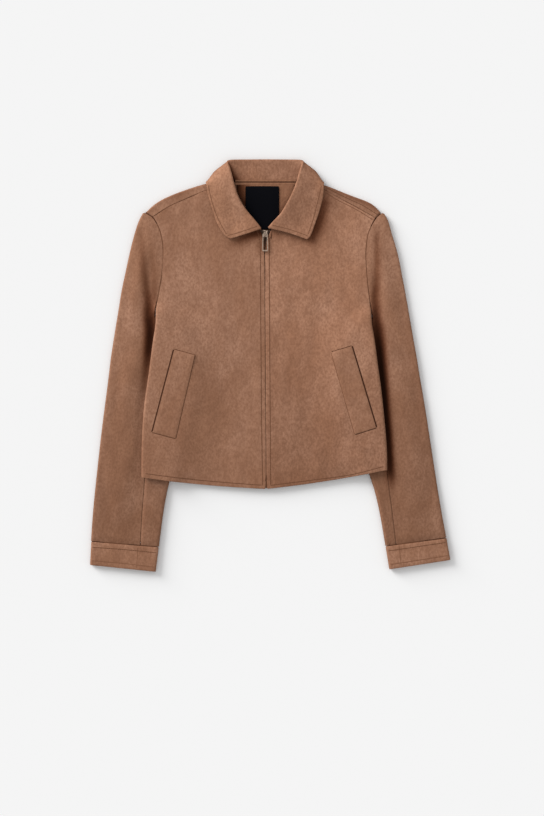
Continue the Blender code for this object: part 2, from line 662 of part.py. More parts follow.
def collar_section(values):
    nx, ny, nz, px, py, pz, out, lean, mx, my, mz, fx, fy, fz = values
    out = math.radians(out)
    lean = math.radians(lean)
    outward = np.array((math.cos(out), math.sin(out), 0.0))
    up = np.array((0.0, 0.0, 1.0))
    across = outward * math.cos(lean) + up * math.sin(lean)
    apex = -outward * math.sin(lean) + up * math.cos(lean)
    centre = np.array((px, py, pz))
    neck = np.array((nx, ny, nz))
    middle = np.array((mx, my, mz))
    free = np.array((fx, fy, fz))
    low = centre - across * ROLL_RADIUS
    high = centre + across * ROLL_RADIUS
    points = [neck + (low - neck) * s for s in (0.0, 0.3, 0.65)]
    for angle in (-90, -45, 0, 45, 90):
        turn = math.radians(angle)
        points.append(centre + across * ROLL_RADIUS * math.sin(turn) + apex * ROLL_RADIUS * math.cos(turn))
    for s in (0.3, 0.65):
        points.append(high + (middle - high) * s)
    points.append(middle)
    for s in (0.4, 0.8, 1.0):
        points.append(middle + (free - middle) * s)
    return [tuple(p) for p in points]


def build_collar():
    table = []
    for half in (COLLAR_RIGHT, COLLAR_LEFT[::-1]):
        for row in half:
            nx, ny, rise, px, py, pz, out, lean, mx, my, mz, fx, fy, fz, over = row
            rest = WALL / 2 + LAYER_GAP + COLLAR_WALL / 2 + 0.15
            if over:
                nz = front_mid(nx, ny) + rise
                mz += front_mid(mx, my) + rest
                fz += front_mid(fx, fy) + rest
            else:
                base = front_mid if ny < 320 else back_mid
                nz = base(nx, ny) + rise
            table.append((nx, ny, nz, px, py, pz, out, lean, mx, my, mz, fx, fy, fz))
    rows = [collar_section(values) for values in smooth(table, 2)]
    sheet = Sheet()
    sheet.grid([row[::-1] for row in rows])
    sheet.solid("collar", COLLAR_WALL, SUEDE)


def build_facing():
    rows = []
    for y, low, high in FACING_ROWS:
        row = []
        for share in np.linspace(0, 1, 7):
            x = low + (high - low) * share
            row.append((x, y, back_mid(x, y) + WALL / 2 + LAYER_GAP + FACING_WALL / 2))
        rows.append(row)
    sheet = Sheet()
    sheet.grid([row[::-1] for row in rows])
    sheet.solid("neck_facing", FACING_WALL, SUEDE_INSIDE)


def build_label():
    rows = []
    for y in LABEL_ROWS:
        row = []
        for x in np.linspace(LABEL_SIDES[0], LABEL_SIDES[1], 6):
            below = back_mid(x, y) + WALL / 2 + 2 * LAYER_GAP + FACING_WALL
            row.append((x, y, below + LABEL_WALL / 2 + 0.05))
        rows.append(row[::-1])
    sheet = Sheet()
    sheet.grid(rows)
    sheet.solid("inner_label", LABEL_WALL, LABEL_BLACK, 0.7)


def zip_x(y):
    """The closed zip leans a little, from its slider down to the hem."""
    return float(np.interp(y, (ZIP_FOOT[1], ZIP_HEAD[1]), (ZIP_FOOT[0], ZIP_HEAD[0])))


def build_tape(side_name, side):
    rows = []
    for y in np.linspace(-207.0, 238.0, 12):
        row = []
        for share in (0.0, 0.5, 1.0):
            x = zip_x(y) + side * (0.9 + TAPE_WIDTH * share)
            row.append((x, y, front_mid(x, y) - WALL / 2 - LAYER_GAP - TAPE_WALL / 2))
        rows.append(row if side > 0 else row[::-1])
    sheet = Sheet()
    sheet.grid([row[::-1] for row in rows])
    sheet.solid("zip_tape_" + side_name, TAPE_WALL, TAPE_BROWN, 0.8)


def box_points(low, high):
    (x0, y0, z0), (x1, y1, z1) = low, high
    return [(x, y, z) for z in (z0, z1) for x, y in ((x0, y0), (x1, y0), (x1, y1), (x0, y1))]


def chamfered(x, y0, half0, y1, half1, cut):
    """Corners of an upright tapered strip with each corner cut off, anticlockwise from its left foot."""
    return [
        (x - half0, y0 + cut), (x - half0 + cut, y0), (x + half0 - cut, y0), (x + half0, y0 + cut),
        (x + half1, y1 - cut), (x + half1 - cut, y1), (x - half1 + cut, y1), (x - half1, y1 - cut),
    ]


BOX_FACES = [(3, 2, 1, 0), (4, 5, 6, 7), (0, 1, 5, 4), (1, 2, 6, 5), (2, 3, 7, 6), (3, 0, 4, 7)]


def outline_prism(name, outline, z0, z1, colour, metallic, roughness, origin=(0, 0, 0), hole=None):
    """A flat plate with an outline in x, y, and a hole with as many points if given."""
    count = len(outline)
    points = [(x, y, z0) for x, y in outline] + [(x, y, z1) for x, y in outline]
    faces = []
    if hole is None:
        faces.append(list(range(count))[::-1])
        faces.append([k + count for k in range(count)])
    else:
        points += [(x, y, z0) for x, y in hole] + [(x, y, z1) for x, y in hole]
    for k in range(count):
        n = (k + 1) % count
        faces.append((k, n, n + count, k + count))
        if hole is not None:
            faces.append((n + 2 * count, k + 2 * count, k + 3 * count, n + 3 * count))
            faces.append((n, k, k + 2 * count, n + 2 * count))
            faces.append((k + count, n + count, n + 3 * count, k + 3 * count))
    return add_mesh(name, points, faces, colour, metallic, roughness, origin)


def build_zip_hardware():
    x = CENTRE_X
    # Slider: body plate with an arch over it, drawn as a profile in y, z and given its width in x.
    y0, y1 = 225.6, 237.6
    z0, z1 = 6.2, 9.0
    arch_top = 13.0
    half_arch = 1.2
    half_body = 3.8
    build_slider(x, y0, y1, z0, z1, half_body, half_arch, arch_top)
    # Pull tab: a frame that hangs on the arch by its top bar.
    hinge = (x, 230.5, 10.5)
    outline = chamfered(x, 200.6, 5.2, 231.2, 4.5, 1.2)
    hole = chamfered(x, 202.8, 3.5, 229.8, 3.0, 0.5)
    outline_prism("pull_tab", outline, 9.8, 11.2, ZIP_METAL, 1.0, 0.35, hinge, hole)
    # Bottom stop: box between the front edges at the hem.
    foot = ZIP_FOOT[0]
    stop = box_points((foot - 1.0, -214.4, 3.2), (foot + 1.0, -209.6, 6.8))
    add_mesh("zip_stop", stop, BOX_FACES, ZIP_METAL, 1.0, 0.4)


def build_slider(x, y0, y1, z0, z1, half_body, half_arch, arch_top):
    """Body plate and arch in one mesh: the arch rises from a grid of the plate's top."""
    xs = [x - half_body, x - half_arch, x + half_arch, x + half_body]
    ys = [y0, y0 + 1.4, y0 + 3.0, y0 + 7.0, y0 + 8.6, y1]
    sheet = {}
    points = []
    faces = []

    def vertex(px, py, pz):
        key = (round(px, 4), round(py, 4), round(pz, 4))
        if key not in sheet:
            sheet[key] = len(points)
            points.append(key)
        return sheet[key]

    def quad(*corners):
        faces.append([vertex(*c) for c in corners])

    for i in range(3):
        for j in range(5):
            corners = [(xs[i], ys[j]), (xs[i + 1], ys[j]), (xs[i + 1], ys[j + 1]), (xs[i], ys[j + 1])]
            quad(*[(px, py, z0) for px, py in corners[::-1]])
            leg = i == 1 and j in (1, 3)
            if not leg:
                quad(*[(px, py, z1) for px, py in corners])
    for j in range(5):
        quad((xs[0], ys[j], z0), (xs[0], ys[j], z1), (xs[0], ys[j + 1], z1), (xs[0], ys[j + 1], z0))
        quad((xs[3], ys[j + 1], z0), (xs[3], ys[j + 1], z1), (xs[3], ys[j], z1), (xs[3], ys[j], z0))
    for i in range(3):
        quad((xs[i + 1], ys[0], z0), (xs[i + 1], ys[0], z1), (xs[i], ys[0], z1), (xs[i], ys[0], z0))
        quad((xs[i], ys[5], z0), (xs[i], ys[5], z1), (xs[i + 1], ys[5], z1), (xs[i + 1], ys[5], z0))
    a, b = xs[1], xs[2]
    low = arch_top - 1.1
    foot, inside, outside, head = ys[1:5]
    outer = [(foot, z1), (foot, low), (foot + 1.0, arch_top), (head - 1.0, arch_top), (head, low), (head, z1)]
    inner = [
        (inside, z1), (inside, low - 0.2), (inside + 0.5, low),
        (outside - 0.5, low), (outside, low - 0.2), (outside, z1),
    ]
    for k in range(5):
        (oy, oz), (py, pz) = outer[k], outer[k + 1]
        (iy, iz), (jy, jz) = inner[k], inner[k + 1]
        quad((a, oy, oz), (b, oy, oz), (b, py, pz), (a, py, pz))
        quad((a, jy, jz), (b, jy, jz), (b, iy, iz), (a, iy, iz))
        quad((a, oy, oz), (a, py, pz), (a, jy, jz), (a, iy, iz))
        quad((b, iy, iz), (b, jy, jz), (b, py, pz), (b, oy, oz))
    add_mesh("zip_slider", points, faces, ZIP_METAL, 1.0, 0.35)


def main():
    for old in list(bpy.data.objects):
        bpy.data.objects.remove(old)
    back_grid().solid("back_panel", WALL, SUEDE)
    build_front("right", FRONT_RIGHT, -1)
    build_front("left", FRONT_LEFT, 1)
    build_sleeve("right", SLEEVE_RIGHT, INNER_RIGHT, TROUGH_RIGHT, -1)
    build_sleeve("left", SLEEVE_LEFT, INNER_LEFT, TROUGH_LEFT, 1)
    build_cuff("right", CUFF_RIGHT, -1)
    build_cuff("left", CUFF_LEFT, 1)
    build_collar()
    build_facing()
    build_label()
    build_welt("right", WELT_RIGHT, -1)
    build_welt("left", WELT_LEFT, 1)
    build_tape("right", -1)
    build_tape("left", 1)
    build_zip_hardware()


main()
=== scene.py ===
"""Looks of the suede jacket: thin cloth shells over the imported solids, stitching, nap and metal."""

import math

import bmesh
import bpy
import numpy as np
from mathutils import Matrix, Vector
from mathutils.bvhtree import BVHTree


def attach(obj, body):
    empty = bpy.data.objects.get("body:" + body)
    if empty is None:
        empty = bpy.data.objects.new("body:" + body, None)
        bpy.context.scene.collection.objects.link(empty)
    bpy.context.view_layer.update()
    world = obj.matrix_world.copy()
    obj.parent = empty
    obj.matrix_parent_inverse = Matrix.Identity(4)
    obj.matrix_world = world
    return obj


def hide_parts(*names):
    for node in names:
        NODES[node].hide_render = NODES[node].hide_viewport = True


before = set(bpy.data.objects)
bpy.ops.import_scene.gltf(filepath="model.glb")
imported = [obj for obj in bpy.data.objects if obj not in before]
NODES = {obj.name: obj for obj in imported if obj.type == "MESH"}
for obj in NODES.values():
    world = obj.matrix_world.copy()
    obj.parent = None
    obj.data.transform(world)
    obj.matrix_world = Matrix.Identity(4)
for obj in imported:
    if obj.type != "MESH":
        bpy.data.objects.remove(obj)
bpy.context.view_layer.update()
MM = 0.001
# From the tables' origin, near the zip, to the middle of the jacket's box, in mm.
SHIFT = np.array((-1.2, -1.1))

SUEDE_PIECES = {
    # node: (subdivision levels, material, flat width, flat length, area), in metres; None leaves the area out
    "back_panel": (2, "suede_back", 0.47, 0.56, 0.203),
    "front_panel_right": (3, "suede_front", 0.222, 0.53, 0.0965),
    "front_panel_left": (3, "suede_front_left_painted_light", 0.215, 0.53, 0.0925),
    "sleeve_top_right": (2, "suede_sleeve", 0.245, 0.60, 0.086),
    "sleeve_top_left": (2, "suede_sleeve", 0.245, 0.60, 0.084),
    "sleeve_under_right": (2, "suede_sleeve", 0.165, 0.41, 0.044),
    "sleeve_under_left": (2, "suede_sleeve", 0.150, 0.41, 0.037),
    "cuff_right": (3, "suede_cuff", 0.245, 0.043, None),
    "cuff_left": (3, "suede_cuff", 0.225, 0.043, None),
    "collar": (2, "suede_collar", 0.46, 0.098, 0.0318),
    "neck_facing": (2, "suede_facing", 0.104, 0.075, 0.0058),
    "pocket_welt_right": (3, "suede_welt", 0.040, 0.153, None),
    "pocket_welt_left": (3, "suede_welt", 0.040, 0.152, None),
}

# All the lines below are in mm from the tables' origin. Rows of the soft creases: the line's two ends,
# as x0, y0, x1, y1, its height (minus is a trough) and its half width.
FRONT_CREASES = [
    (-150, 232, -120, 60, -0.9, 22), (-96, 205, -70, 20, 0.8, 26), (-52, 190, -44, -30, -0.7, 17),
    (-30, 150, -26, -150, 0.5, 9), (-86, -40, -50, -160, -0.4, 24), (-186, 86, -120, 62, 0.7, 14),
    (-175, 118, -95, 96, -0.7, 15), (-60, -60, -50, -190, 0.6, 18), (130, 230, 96, 70, -0.9, 22),
    (70, 200, 58, -10, 0.8, 24), (30, 170, 24, -60, -0.7, 14), (14, 120, 12, -140, 0.5, 8),
    (166, 92, 96, 60, 1.0, 14), (150, 128, 80, 112, -0.7, 16), (60, -40, 100, -160, -0.8, 22),
    (40, -70, 34, -190, 0.6, 15), (-130, -170, -30, -185, 0.5, 12), (60, -175, 150, -160, 0.5, 12),
    (150, -135, 198, -156, 1.5, 6), (158, -148, 200, -170, -1.1, 6), (140, -156, 188, -176, 1.1, 6),
    (90, -128, 82, -188, 1.2, 7), (106, -140, 100, -184, -0.8, 7),
    (132, -52, 174, -66, 0.8, 8), (136, -74, 182, -88, -0.9, 9),
]
SLEEVE_CREASES = [
    (-214, 236, -236, 96, 0.9, 13), (-246, 190, -262, 40, -0.8, 12), (-232, 60, -256, -70, 0.8, 15),
    (-262, 10, -280, -120, -0.7, 10), (-246, -90, -258, -240, 0.8, 14), (-284, -140, -292, -270, -0.7, 10),
    (-236, -215, -300, -238, -0.5, 8), (-232, -262, -296, -270, 0.5, 8), (-238, 30, -276, 18, -0.5, 9),
    (196, 232, 212, 92, 0.9, 13), (226, 180, 238, 30, -0.8, 12), (212, 40, 236, -80, 0.9, 15),
    (246, 0, 262, -110, -0.7, 10), (238, -90, 254, -230, 0.8, 14), (274, -130, 286, -260, -0.7, 10),
    (222, -208, 288, -222, -0.5, 8), (226, -250, 298, -262, 0.5, 8), (214, 20, 254, 6, -0.5, 9),
    (-196, -232, -214, -300, 0.6, 9), (196, -220, 210, -300, 0.6, 9),
]
COLLAR_CREASES = [(-90, 300, -60, 240, 0.5, 12), (74, 300, 50, 240, 0.5, 12), (-40, 352, 20, 350, -0.5, 8)]
# Valleys where shade is painted into the nap's colour. Rows: x, y, strength, half width.
VALLEYS = [
    [
        (-225, 250, 0.0, 8), (-223.3, 207, 0.55, 7), (-218.6, 159, 0.85, 7), (-213.9, 123, 1.0, 8),
        (-208.5, 87, 1.0, 9), (-208, 52, 1.0, 9), (-213, 10, 0.70, 8), (-219, -45, 0.45, 7),
        (-224, -110, 0.2, 6),
    ],
    [(-213, 240, 0.0, 6), (-204.5, 190, 0.40, 6), (-201.5, 147, 0.55, 6), (-200.5, 112, 0.6, 6)],
    [
        (187, 250, 0.0, 7), (187, 224, 0.75, 7), (188.4, 195, 0.95, 7), (188, 159, 1.0, 8),
        (185, 120, 1.0, 8), (188, 87, 1.0, 9), (194, 50, 1.0, 10), (199, 0, 1.0, 10), (204, -60, 1.0, 9),
        (209, -120, 1.0, 9), (214, -175, 0.9, 8), (218, -205, 0.4, 7),
    ],
]
# The deep part of the valleys, along the body's edge, where next to no light comes in: a near-black shadow is
# painted there.
CREVICES = [
    [
        (-214, 140, 0.0, 10), (-209, 116, 0.32, 12), (-210, 98, 0.55, 12), (-210, 80, 0.80, 11),
        (-208, 63, 0.86, 11), (-209, 46, 0.84, 11), (-211, 28, 0.80, 9.5), (-214, 2, 0.45, 8),
        (-216.5, -25, 0.15, 5), (-218, -45, 0.0, 4),
    ],
    [
        (186.5, 150, 0.0, 6), (186.5, 133, 0.22, 7), (184, 116, 0.24, 10), (182.5, 98, 0.45, 12),
        (183, 80, 0.62, 13), (186, 63, 0.80, 13), (189, 46, 0.90, 12), (191.5, 28, 0.95, 11.5),
        (195.5, -7, 0.97, 10.5),
        (198.5, -42, 0.97, 9.5), (201.5, -77, 0.97, 8.5), (205, -112, 0.95, 8), (208, -147, 0.88, 8),
        (209.5, -182, 0.80, 8.5), (213, -203, 0.3, 7), (214, -214, 0.0, 6),
    ],
]
# Painted shade on the strips of the back that come over the shoulders. Columns here and below as for the
# valleys.
SHOULDER_SHADE = [
    [(-100, 322, 0.35, 7), (-138, 311, 0.45, 7), (-186, 293, 0.45, 7), (-214, 272, 0.30, 6)],
    [(90, 318, 0.60, 8), (120, 307, 0.80, 8), (173, 287, 0.75, 8), (194, 270, 0.35, 7)],
]
# How far the collar leaves' free edges stand up. Rows: x, y, height, half width.
COLLAR_EDGES = [
    [(96, 312, 1.2, 14), (87, 270, 2.6, 16), (70, 222, 3.0, 16), (38, 231, 2.4, 14), (10, 242, 1.0, 12)],
    [
        (-110, 312, 0.6, 12), (-96, 270, 1.0, 14), (-72, 222, 2.2, 16), (-40, 236, 2.4, 14),
        (-20, 244, 1.0, 12),
    ],
]
# Painted shadow on the fronts beside the collar leaves and under the pull.
COLLAR_SHADE = [
    [(102, 312, 0.5, 12), (97, 285, 0.8, 14), (90, 262, 0.9, 15), (82, 240, 0.95, 15), (74, 222, 0.8, 13)],
    [(74, 222, 0.8, 13), (56, 222, 0.45, 10), (30, 229, 0.50, 10), (8, 232, 0.6, 10)],
    [(-14, 233, 1.0, 13), (-32, 228, 0.95, 14), (-52, 219, 0.7, 13), (-70, 212, 0.3, 10)],
    [(-16, 212, 0.7, 9), (-18, 196, 0.35, 9), (-18, 180, 0.0, 9)],
    [(-7.8, 229, 1.0, 4), (-8, 205, 1.0, 4)],
]
# Where the leaves' painted shadow on the fronts is deepest, painted near-black.
COLLAR_DEEP = [
    [(98, 300, 0.0, 6), (95, 285, 0.35, 8), (88, 262, 0.42, 9), (79, 240, 0.45, 9), (73, 226, 0.35, 8)],
    [(-12, 235, 0.75, 6), (-24, 233, 0.60, 6), (-44, 226, 0.40, 6), (-62, 216, 0.0, 5)],
]
# Painted shadow inside the neck, beside the right leaf, near-black where deepest.
NECK_DEEP = [
    [
        (-72.5, 357, 0.3, 3), (-71, 350, 0.7, 4), (-67.6, 340, 0.88, 4.5), (-64.6, 329, 0.93, 6.5),
        (-58, 318, 0.95, 11), (-52, 308, 0.92, 14), (-48, 298, 0.88, 13), (-44, 288, 0.82, 12),
        (-38, 276, 0.80, 11), (-30, 264, 0.7, 8),
    ],
]

# Seam lines with a row of stitches: name, carrier, material of the groove's painted shade, points of the
# line.
ROWS = {
    "zip_row_right": (
        "front_panel_right", "seam",
        [(-21.0, 236), (-17.6, 222), (-16.3, 206), (-15.3, 80), (-13.9, -90), (-12.4, -185), (-11.8, -209)],
    ),
    "zip_row_left": (
        "front_panel_left", "seam",
        [(4.6, 238), (2.4, 226), (-0.2, 208), (0.2, 80), (1.2, -90), (1.8, -185), (2.1, -209)],
    ),
    "collar_row_right": (
        "collar", "seam_soft",
        [(-106.4, 315), (-104, 301), (-97.8, 278), (-90.4, 258.3), (-82.2, 242.4), (-75.6, 230.6)],
    ),
    "collar_foot_right": ("collar", "seam_soft", [(-73.2, 228.0), (-58, 231.8), (-44, 236.2), (-22, 243.4)]),
    "collar_row_left": (
        "collar", "seam_soft",
        [(90.4, 314), (88.4, 304), (84.9, 290), (81.0, 274), (77.4, 260), (71.8, 242.4), (67.2, 230.0)],
    ),
    "collar_foot_left": ("collar", "seam_soft", [(66.0, 227.6), (36, 238.0), (18, 242.6), (5, 245.4)]),
    "cuff_row_right": ("cuff_right", "seam", [(-309.5, -317.2), (-252, -321.4), (-198.4, -326.8)]),
    "cuff_edge_right": ("cuff_right", "seam_soft", [(-310.5, -340.6), (-254, -345.6), (-201.5, -351.8)]),
    "cuff_row_left": ("cuff_left", "seam", [(310.0, -308.6), (258, -316.2), (208.4, -323.6)]),
    "cuff_edge_left": ("cuff_left", "seam_soft", [(312.6, -331.6), (262, -339.6), (211.8, -347.2)]),
    "hem_row_right": (
        "front_panel_right", "seam",
        [(-216, -188.0), (-144, -197.4), (-82, -203.4), (-14, -208.6)],
    ),
    "hem_row_left": ("front_panel_left", "seam", [(3, -208.6), (77, -199.4), (140, -190.6), (199, -175.6)]),
    "shoulder_row_left": (
        "front_panel_left", "seam_soft",
        [(99, 302.6), (118, 291), (137, 281.4), (158, 270.2), (180, 256.4)],
    ),
}
# Welts: name, front panel, material of the end lines, corners: top inner, top outer, foot outer, foot inner.
WELTS = {
    "pocket_welt_right": (
        "front_panel_right", "seam",
        [(-130, 19), (-167, 29), (-205, -116), (-163.5, -127)],
    ),
    "pocket_welt_left": (
        "front_panel_left", "seam_dark",
        [(107.5, 24), (144, 35), (187, -108), (149, -120)],
    ),
}
ARMHOLE_RIGHT = [
    (-204.2, 260.0), (-195.9, 246.8), (-189.6, 229), (-186.2, 204), (-186.8, 172), (-190.6, 146),
    (-195.2, 120), (-198.6, 102),
]
ARMHOLE_LEFT = [
    (185.4, 257.4), (176.4, 241.2), (171.2, 225), (168.6, 199), (169.4, 172), (171.8, 144.5), (175.2, 116),
    (178.0, 99),
]
# Seam allowances under the joins: name, two pieces, half width, drop below their faces, points of the line.
BACKINGS = {
    "armhole_backing_right": (
        ("front_panel_right", "sleeve_top_right"), 3.4, 1.5, ARMHOLE_RIGHT,
    ),
    "armhole_backing_left": (
        ("front_panel_left", "sleeve_top_left"), 3.4, 1.5, ARMHOLE_LEFT,
    ),
    "shoulder_backing_right": (
        ("front_panel_right", "back_panel"), 3.0, 1.4,
        [
            (-80, 313), (-111.5, 307.4), (-135, 297.8), (-155, 289.2), (-176, 279.6), (-194, 268.2),
            (-203, 262),
        ],
    ),
    "shoulder_backing_left": (
        ("front_panel_left", "back_panel"), 3.0, 1.4,
        [(64, 312.2), (98, 308.4), (117, 296.6), (136, 287), (157.5, 275.6), (174, 265.4), (184.6, 259.6)],
    ),
    "head_backing_right": (
        ("sleeve_top_right", "back_panel"), 3.0, 1.6,
        [(-204.4, 260.8), (-211.2, 264.6), (-217.4, 267.3)],
    ),
    "head_backing_left": (
        ("sleeve_top_left", "back_panel"), 3.0, 1.6,
        [(185.8, 259.0), (191.0, 262.9), (195.4, 266.3)],
    ),
    "cuff_backing_right": (
        ("sleeve_top_right", "cuff_right"), 2.6, 1.5,
        [(-311.0, -307.1), (-232, -313.6), (-199, -316.6)],
    ),
    "cuff_backing_left": (
        ("sleeve_top_left", "cuff_left"), 2.6, 1.5,
        [(308.0, -301.6), (228, -312.0), (208, -315.0)],
    ),
    "zip_foot_backing": (
        ("front_panel_right", "front_panel_left"), 3.0, 1.0,
        [(-6.3, -172), (-6.2, -190), (-5.9, -213.6)],
    ),
    "sleeve_backing_right": (
        ("sleeve_top_right", "sleeve_under_right"), 3.0, 0.8,
        [(-217.6, -202), (-221.2, -232), (-223.7, -258), (-226.0, -309)],
    ),
    "sleeve_backing_left": (
        ("sleeve_top_left", "sleeve_under_left"), 3.0, 0.8,
        [(207.4, -198), (211.6, -228), (215.7, -257), (221.6, -306)],
    ),
}
# Dark lines where two pieces meet, and painted shade lines by the zip: name, carriers, material, half width,
# points of the line.
SEAMS = {
    "armhole_seam_right": (("front_panel_right", "sleeve_top_right"), "seam_fold", 0.8, ARMHOLE_RIGHT),
    "armhole_seam_left": (("front_panel_left", "sleeve_top_left"), "seam_fold", 0.8, ARMHOLE_LEFT),
    # Bands on each front's rolled edge along the zip: painted shade of the zip's narrow gap.
    "zip_edge_shade_right": (
        ("front_panel_right",), "seam_dark", 0.48,
        [(-9.3, 205), (-8.1, 80), (-6.9, -90), (-6.3, -180), (-6.8, -202)],
    ),
    "zip_edge_shade_left": (
        ("front_panel_left",), "seam_dark", 0.48,
        [(-7.2, 205), (-6.9, 80), (-5.6, -90), (-4.9, -180), (-4.4, -202)],
    ),
    # A painted shade line along a fold of the left front, beside the slider, on that piece alone.
    "zip_head_fold_shade_left": (("front_panel_left",), "seam_dark", 0.5, [(4.4, 236.5), (3.9, 230), (2.9, 222)]),
    "cuff_top_right": (
        ("sleeve_top_right", "cuff_right"), "seam", 0.7,
        [(-312.4, -306.7), (-270, -310.6), (-232, -313.6), (-199, -316.6)],
    ),
    "cuff_top_left": (
        ("sleeve_top_left", "cuff_left"), "seam", 0.7,
        [(309.6, -301.2), (268, -306.9), (228, -312.0), (207, -315.2)],
    ),
    "cuff_seam_right": (
        ("cuff_right",), "seam_soft", 0.5,
        [(-230.5, -318.0), (-231.5, -336.0), (-232.5, -354.0)],
    ),
    "cuff_seam_left": (
        ("cuff_left",), "seam_soft", 0.5,
        [(226.5, -313.5), (228.5, -331.0), (230.5, -349.0)],
    ),
    "shoulder_seam_right": (
        ("front_panel_right", "back_panel"), "seam", 0.55,
        [
            (-84, 312.4), (-111.5, 307.0), (-135, 297.4), (-155, 288.8), (-176, 279.2), (-194, 267.8),
            (-203, 261.8),
        ],
    ),
    "shoulder_seam_left": (
        ("front_panel_left", "back_panel"), "seam", 0.55,
        [(96, 308.6), (117, 296.2), (136, 286.6), (157.5, 275.2), (174, 265.0), (184, 259.4)],
    ),
    "shoulder_edge_left": (
        ("back_panel",), "seam", 0.45,
        [(100, 311.8), (119, 301.6), (142, 290.8), (164, 280.6), (180, 270.6), (191, 263.6)],
    ),
}
# Strips of the neck seam's turned-in edge: name, material, then y and rise of each long edge.
NECK_STRIPS = {
    "neck_seam_edge": ("suede_facing", ((317.2, 0.15), (319.4, 0.55), (321.3, 0.35))),
    "neck_seam_line": ("seam_dark", ((320.9, 0.45), (322.9, 0.45))),
    "collar_foot_edge": ("suede_facing", ((322.8, 0.15), (324.2, 0.2), (325.8, 0.05))),
}


# Smoothing of the solids: edges that bend more than this, in radians, stay fairly sharp (1 is fully sharp).
SHARP_ANGLE = 0.95
RIM_SHARPNESS = 0.82
CORNER_SHARPNESS = 0.9
WELD = 2e-6
# Triangles this nearly flat and square to one another, in radians, are joined into quads.
QUAD_BEND = 0.9
QUAD_SKEW = 1.2

# The zip's middle line, as x on the tables, and the y above which the collar's inside shows.
ZIP_X = -7.6
COLLAR_INSIDE_Y = 312
# How deep a front's creases may go, and a sleeve's, in mm.
FRONT_DEEPEST = -0.9
SLEEVE_DEEPEST = -1.2
# The welts lie this much lower than the front, and a little more within a band along their edges, in mm.
WELT_SUNK = 2.2
WELT_EDGE_SUNK = 0.7
WELT_EDGE = 6.0
WELT_ROUNDNESS = 0.7
# Strength of the painted shade on a turned rim, and the upward share of the normal where it begins.
PAINTED_RIM_SHADE = 0.55
RIM_LEVEL = 0.75

# The cloth shells made so far, by the node that each stands for.
SHELLS = {}


def placed(name, data):
    """A new object in the scene, made of this data."""
    made = bpy.data.objects.new(name, data)
    bpy.context.scene.collection.objects.link(made)
    return made


def dressed(mesh, material):
    """Smooth shading and one material for the whole mesh."""
    for polygon in mesh.polygons:
        polygon.use_smooth = True
    mesh.materials.clear()
    mesh.materials.append(material)


def smooth_copy(node, levels):
    """The solid's faces as quads, smoothed, with the rims kept a little rounded."""
    bm = bmesh.new()
    bm.from_mesh(NODES[node].data)
    bmesh.ops.remove_doubles(bm, verts=bm.verts, dist=WELD)
    bmesh.ops.join_triangles(
        bm, faces=bm.faces, angle_face_threshold=QUAD_BEND, angle_shape_threshold=QUAD_SKEW
    )
    crease = bm.edges.layers.float.new("crease_edge")
    corner = bm.verts.layers.float.new("crease_vert")
    for edge in bm.edges:
        if len(edge.link_faces) == 2 and edge.calc_face_angle(0.0) > SHARP_ANGLE:
            edge[crease] = RIM_SHARPNESS
    for vert in bm.verts:
        if sum(edge[crease] > 0 for edge in vert.link_edges) > 2:
            vert[corner] = CORNER_SHARPNESS
    mesh = bpy.data.meshes.new(node + "_cage")
    bm.to_mesh(mesh)
    bm.free()
    cage = placed(node + "_cage", mesh)
    smooth = cage.modifiers.new("smooth", "SUBSURF")
    smooth.levels = levels
    smooth.render_levels = levels
    graph = bpy.context.evaluated_depsgraph_get()
    made = bpy.data.meshes.new_from_object(cage.evaluated_get(graph))
    bpy.data.objects.remove(cage)
    return made


def read(mesh):
    """The mesh's points as rows of x, y, z."""
    points = np.empty(len(mesh.vertices) * 3)
    mesh.vertices.foreach_get("co", points)
    return points.reshape(-1, 3)


def write(mesh, points):
    """Puts the moved points back."""
    mesh.vertices.foreach_set("co", points.ravel())
    mesh.update()


def rising(values, start, length):
    """0 up to the start, then evenly up to 1 over the length."""
    return np.clip((values - start) / length, 0, 1)


def falling(values, start, length):
    """0 from the start on, and evenly up to 1 over the length before it."""
    return np.clip((start - values) / length, 0, 1)


def to_line(start, end, x, y):
    """Where along a line each point comes nearest to it, as a share, and its distance from there."""
    (x0, y0), (x1, y1) = start, end
    dx, dy = x1 - x0, y1 - y0
    share = np.clip(((x - x0) * dx + (y - y0) * dy) / (dx * dx + dy * dy), 0, 1)
    return share, np.hypot(x - x0 - share * dx, y - y0 - share * dy)


def crease_field(table, x, y):
    """Height of the creases at points, in mm. Each bends, widens along its line and fades past its ends."""
    total = np.zeros(len(x))
    for x0, y0, x1, y1, height, width in table:
        dx, dy = x1 - x0, y1 - y0
        length = math.hypot(dx, dy)
        along = ((x - x0) * dx + (y - y0) * dy) / length
        share = np.clip(along / length, 0, 1)
        broad_bend = 0.06 * length * np.sin(share * 3.1 + x0 * 0.05)
        fine_bend = 0.02 * length * np.sin(share * 7.3 + y0 * 0.07)
        across = ((x - x0) * -dy + (y - y0) * dx) / length - (broad_bend + fine_bend)
        over = np.maximum(0, np.maximum(-along, along - length)) / (0.25 * length)
        taper = np.sin(np.pi * np.clip(share * 0.8 + 0.1, 0, 1)) * np.exp(-over ** 2 * 4)
        own_width = width * (0.75 + 0.5 * share)
        total += height * taper * np.exp(-(across / own_width) ** 2)
    return total


def waves(x, y, scale, seed):
    """Soft uneven waves, mostly between -1 and 1, from seven fixed sines of about this pitch."""
    rng = np.random.default_rng(seed)
    total = np.zeros(len(x))
    for _ in range(7):
        angle, phase = rng.uniform(0, 2 * np.pi, 2)
        pitch = scale * rng.uniform(0.6, 1.7)
        total += np.sin((x * math.cos(angle) + y * math.sin(angle)) * 2 * np.pi / pitch + phase)
    return total / 4.5


